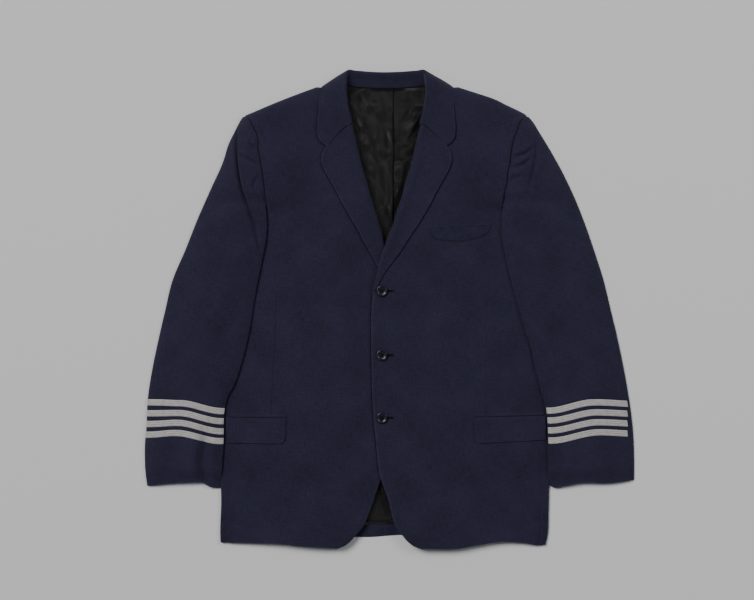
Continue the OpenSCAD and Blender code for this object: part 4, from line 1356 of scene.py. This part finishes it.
def build_hanger():
    """Black tape, sewn down at both ends under the neck seam, with a shallow slack between them."""
    xs = np.concatenate([np.linspace(-24, -17, 9), np.linspace(-14, 24, 26), np.linspace(27, 34, 8)])
    share = (xs - 5) / 29
    centre = 386.9 - 3.4 * (1 - np.abs(share) ** 5)
    grid = []
    for v in np.linspace(-1, 1, 5):
        y = centre + 1.45 * v
        z = lining_height(xs, np.minimum(y, 389)) + 1.3 + 0.9 * (1 - share ** 2) + 0.1 * v
        grid.append(np.stack([xs, y, z], 1))
    cloth_piece("hanger_tape", np.array(grid), 0.9, LEFT, TAPE, "tape", body="hanger_loop",
                nodes=["hanger_loop"], rests_on=("back_lining_satin",), held="stretched")
    parts = []
    for x in (-22.5, 32.5):
        for k in range(5):
            y = 383.4 + 1.1 * k
            z = float(lining_height(np.array([x]), np.array([y]))[0]) + 2.0
            line = [(x - 1.3, y, z - 0.5), (x - 0.6, y, z), (x + 0.6, y, z), (x + 1.3, y, z - 0.5)]
            parts.append(tube(line, 0.26, 5))
    place(joined("hanger_tacks", parts), "hanger_loop", THREAD, "thread")


build_hanger()


# ---------------- sleeves

SLEEVE_CROWN = curve([(-312, 9), (-156, 11), (0, 12.6), (150, 12), (215, 10.5), (262, 8.5), (300, 5),
                      (337, 0.8)])
# Points, depth and width of each fold
SLEEVE_FOLDS = {
    LEFT: [
        ([(262, 322), (265, 284), (262, 253), (254, 219), (250, 190)], 4.2, 3.6),
        ([(219, 263), (234, 268), (247, 273), (259, 283)], 5.0, 2.8),
        ([(217, 246), (238, 251), (257, 265)], 4.8, 3.2), ([(212, 223), (226, 229), (240, 232)], 4.0, 3.2),
        ([(238, 196), (232, 150), (222, 100)], 1.8, 7.0), ([(252, 205), (268, 160), (290, 110)], -1.6, 12),
        ([(300, 120), (310, 40), (322, -40)], 1.5, 12), ([(330, 60), (350, -20), (362, -90)], -1.4, 14),
        ([(262, 60), (270, 0), (288, -70)], -1.2, 14), ([(300, -240), (306, -280), (303, -308)], 2.4, 7),
    ],
    RIGHT: [
        ([(259, 322), (259, 284), (257, 250), (251, 214), (236, 170), (224, 131), (218, 104)], 8.2, 3.2),
        ([(243, 300), (243, 250), (235, 208), (224, 172)], -1.6, 7.0),
        ([(224, 277), (231, 283), (239, 290)], 4.4, 2.6), ([(220, 247), (232, 257), (252, 268)], 4.6, 3.0),
        ([(219, 232), (226, 225), (230, 212)], 2.4, 3.0), ([(300, 150), (300, 70), (312, -20)], 1.5, 13),
        ([(268, 90), (290, 0), (318, -80)], -1.5, 14), ([(240, 60), (262, -20), (290, -90)], 1.2, 13),
        ([(311, -212), (317, -262), (314, -308)], 7.6, 9.5),
        ([(380, -200), (372, -250), (376, -300)], 1.2, 12),
        ([(345, -225), (340, -260), (345, -300)], -1.4, 14),
    ],
}
# The y of each cuff's edge across the sleeve
CUFF = {
    LEFT: curve([(288, -308), (298, -312.5), (312, -310), (341, -304), (391, -304), (436, -299)]),
    RIGHT: curve([(287, -313), (306, -311), (320, -303.5), (346, -303), (380, -305), (414, -309)]),
}


def closed_at(y):
    """1 where the sleeve is a closed tube, 0 where its edge is the armhole's seam."""
    return 1 - ease(174, 206, y)


def sleeve_x(s, u, y):
    return mix(ARM_EDGE[s](y), SLEEVE_EDGE[s](y), u)


def under_z(s, u, y):
    """Middle of the sleeve's under cloth. Its inner part lies over the side of the body."""
    side = side_edge(y)
    lift = (1 - ease(side + 3, side + 46, sleeve_x(s, u, y))) * closed_at(y) * ease(CUFF_Y, -276, y)
    turned_up = 1.3 * (1 - ease(0, 0.03, np.minimum(u, 1 - u)))
    return CLOTH / 2 + 0.2 + SLEEVE_LIFT * lift + turned_up


def sleeve_relief(s, x, y):
    return creased(0.6 * waves(x, y, 95, 71 + s) + 0.3 * waves(x, y, 36, 73 + s), x, y, SLEEVE_FOLDS[s])


def sleeve_top_z(s, u, y):
    """Middle of the sleeve's upper cloth."""
    closed = closed_at(y)
    seam = front_z(s, ARM_EDGE[s](y) - 1 + 0 * u, y, folds=False) - CLOTH / 2 - 1.0
    inner = mix(seam, under_z(s, 0 * u, y), closed)
    base = mix(inner, under_z(s, 0 * u + 1, y), u ** 1.3)
    across = np.clip(1 - np.abs(1 - 2 * u) ** 2.3, 0, 1)
    power = np.where(u < 0.5, mix(0.95, {LEFT: 0.6, RIGHT: 0.85}[s], closed), 0.55)
    crown = SLEEVE_CROWN(y) * across ** power
    body = np.clip(1 - np.abs(1 - 2 * u) ** 8, 0, 1)
    return base + crown + sleeve_relief(s, sleeve_x(s, u, y), y) * body


def cuff_warp(s, x, y):
    return y + (1 - ease(CUFF_Y, -272, y)) * (CUFF[s](x) - CUFF_Y)


def sleeve_loop(s, y):
    """Round the sleeve at height y, in (x, z): over the top to the outer edge, and back underneath."""
    u = 0.5 - 0.5 * np.cos(np.linspace(0, math.pi, 72))
    top = np.stack([sleeve_x(s, u, y), sleeve_top_z(s, u, np.full(72, y))], 1)
    low = np.stack([sleeve_x(s, u, y), under_z(s, u, np.full(72, y))], 1)[::-1]
    return top, low


def along_loop(loop, start, end, n):
    """n points along a loop between two lengths, closer together at both ends."""
    length = path_lengths(loop)
    even = np.linspace(0, 1, n)
    at = start + (end - start) * mix(even, 0.5 - 0.5 * np.cos(math.pi * even), 0.6)
    return np.stack([np.interp(at, length, loop[:, i]) for i in range(2)], 1)


def loop_length(line):
    return np.linalg.norm(np.diff(line, axis=0), axis=1).sum()


def sleeve_bend(s):
    """The torso, the sleeve and two points: where the sleeve's cloth would start to follow the arm, and
    where it wholly would. Nothing bends the cloth by them.
    """
    start = np.array([0.229 * s, 0.249, 0.01])
    end = start + 0.095 * np.array([0.973 * s, -0.23, 0])
    return "torso", f"sleeve_{SIDES[s]}", tuple(start), tuple(end)


def build_sleeve(s):
    rows = np.concatenate([rows_between(CUFF_Y, -150, 3.6), rows_between(-146, 150, 4.6),
                           rows_between(153, 336, 3.1)])
    upper, under = [], []
    for y in rows:
        top, low = sleeve_loop(s, y)
        loop = np.concatenate([top, low])
        across, whole = loop_length(top), loop_length(loop)
        # The left sleeve's hind seam shows on top, a little inside the outer edge
        seam = across - (8 * (1 - ease(-60, 60, y)) if s == LEFT else -1)
        for grid, line in ((upper, along_loop(loop, 0, seam, 64)),
                           (under, along_loop(loop, seam + 1.5, whole - 1.6, 50))):
            grid.append(np.stack([line[:, 0], cuff_warp(s, line[:, 0], y), line[:, 1]], 1))
    upper, under = np.array(upper), np.array(under)
    hem = (1 - ease(-276, -270, rows))[:, None]
    thick = np.broadcast_to(CLOTH + 1.0 * hem, upper.shape[:2])
    # The cuff's edge is paled: partly abrasion, partly a painted highlight
    cloth_piece(f"sleeve_top_{SIDES[s]}", upper, thick, s, WOOL, "wool", body=sleeve_bend(s),
                nodes=[f"sleeve_upper_{SIDES[s]}"], rests_on=(f"sleeve_bottom_{SIDES[s]}",),
                wear_and_highlight=("first_row",))
    cloth_piece(f"sleeve_bottom_{SIDES[s]}", under, CLOTH, s, WOOL, "wool", body=sleeve_bend(s),
                nodes=[f"sleeve_under_{SIDES[s]}"], rests_on=("floor", f"side_{SIDES[s]}"))


def build_sleeve_lining(s):
    rows = rows_between(-297, 172, 7)
    u = np.linspace(0.07, 0.92, 30)
    above, below = lambda y: sleeve_top_z(s, u, y) - 1.7, lambda y: under_z(s, u, y) + 1.5
    for name, height, nodes in (("top", above, [f"sleeve_lining_{SIDES[s]}"]), ("bottom", below, ())):
        grid = [np.stack([sleeve_x(s, u, y), np.full(30, y), height(np.full(30, y))], 1) for y in rows]
        cloth_piece(f"sleeve_lining_{name}_{SIDES[s]}", np.array(grid), SATIN, s, SATIN_CLOTH, "satin",
                    body=sleeve_bend(s), nodes=nodes, rests_on=(f"sleeve_bottom_{SIDES[s]}",))


def build_sleeve_head(s):
    u = np.linspace(0.06, 0.3, 12)
    grid = []
    for y in rows_between(192, 304, 5):
        at = np.full(12, y)
        grid.append(np.stack([sleeve_x(s, u, y), at, sleeve_top_z(s, u, at) - 3.4], 1))
    padding("sleeve_wadding", np.array(grid), 2.0, s, sleeve_bend(s), "sleeve_head")


def stripe_y(s, k, u):
    """The middle of stripe k, which dips at the sleeve's inner edge and a little at the outer one."""
    outer = ease(0.62, 1, u)
    dip = 14.5 * (1 - ease(0.02, 0.58, u)) + (3 if s == LEFT else 1.2) * outer
    # The right sleeve's stripes fan out a little towards its outer edge
    fan = (0 if s == LEFT else 1.6) * (k - 2.3) * outer
    return STRIPE_TOP[s] - (k - 1) * STRIPE_PITCH - dip - fan


def build_stripe(s, k):
    """One braid: a flat band with three ribs along it, sewn round the sleeve."""
    u = mix(np.linspace(0, 1, 74), 0.5 - 0.5 * np.cos(np.linspace(0, math.pi, 74)), 0.5)
    low, high = ARM_EDGE[s](stripe_y(s, k, 1)), SLEEVE_EDGE[s](stripe_y(s, k, 1))
    end = min(0.994, (424 - low) / (high - low)) if s == LEFT else 0.994
    u = 0.006 + u * (end - 0.006)
    across = np.linspace(-STRIPE_W / 2, STRIPE_W / 2, 22)
    wander = 0.25 * waves(u * 140, u * 0 + 20 * k, 25, 81 + s)
    grid = []
    for v in across:
        y = stripe_y(s, k, u) + v + wander
        x = sleeve_x(s, u, y)
        grid.append(np.stack([x, cuff_warp(s, x, y), sleeve_top_z(s, u, y)], 1))
    grid = np.array(grid)
    rib = 0.22 * np.cos(across / STRIPE_W * math.tau * 3)[:, None, None]
    grid = grid + normals(grid) * (CLOTH / 2 + 0.75 + rib)
    uv = arc_uv(grid)
    uv[..., 1] = across[:, None]
    cloth_piece(f"braid_{SIDES[s]}_{k}", grid, 0.8, s, BRAID, "braid", body=f"sleeve_{SIDES[s]}",
                nodes=[f"sleeve_stripe_{SIDES[s]}_{k}"], rests_on=(f"sleeve_top_{SIDES[s]}",), uv=uv)


for side in (LEFT, RIGHT):
    build_sleeve(side)
    build_sleeve_lining(side)
    build_sleeve_head(side)
    for number in range(1, STRIPES + 1):
        build_stripe(side, number)


# ---------------- floor

def build_floor():
    bpy.ops.mesh.primitive_plane_add(size=30, location=(0, 0, 0))
    floor = bpy.context.object
    floor.name = "floor"
    made = bpy.data.materials.new("pale_floor")
    made.use_nodes = True
    shader = made.node_tree.nodes["Principled BSDF"]
    shader.inputs["Base Color"].default_value = (0.665, 0.662, 0.665, 1)
    shader.inputs["Roughness"].default_value = 0.85
    floor.data.materials.append(made)


build_floor()
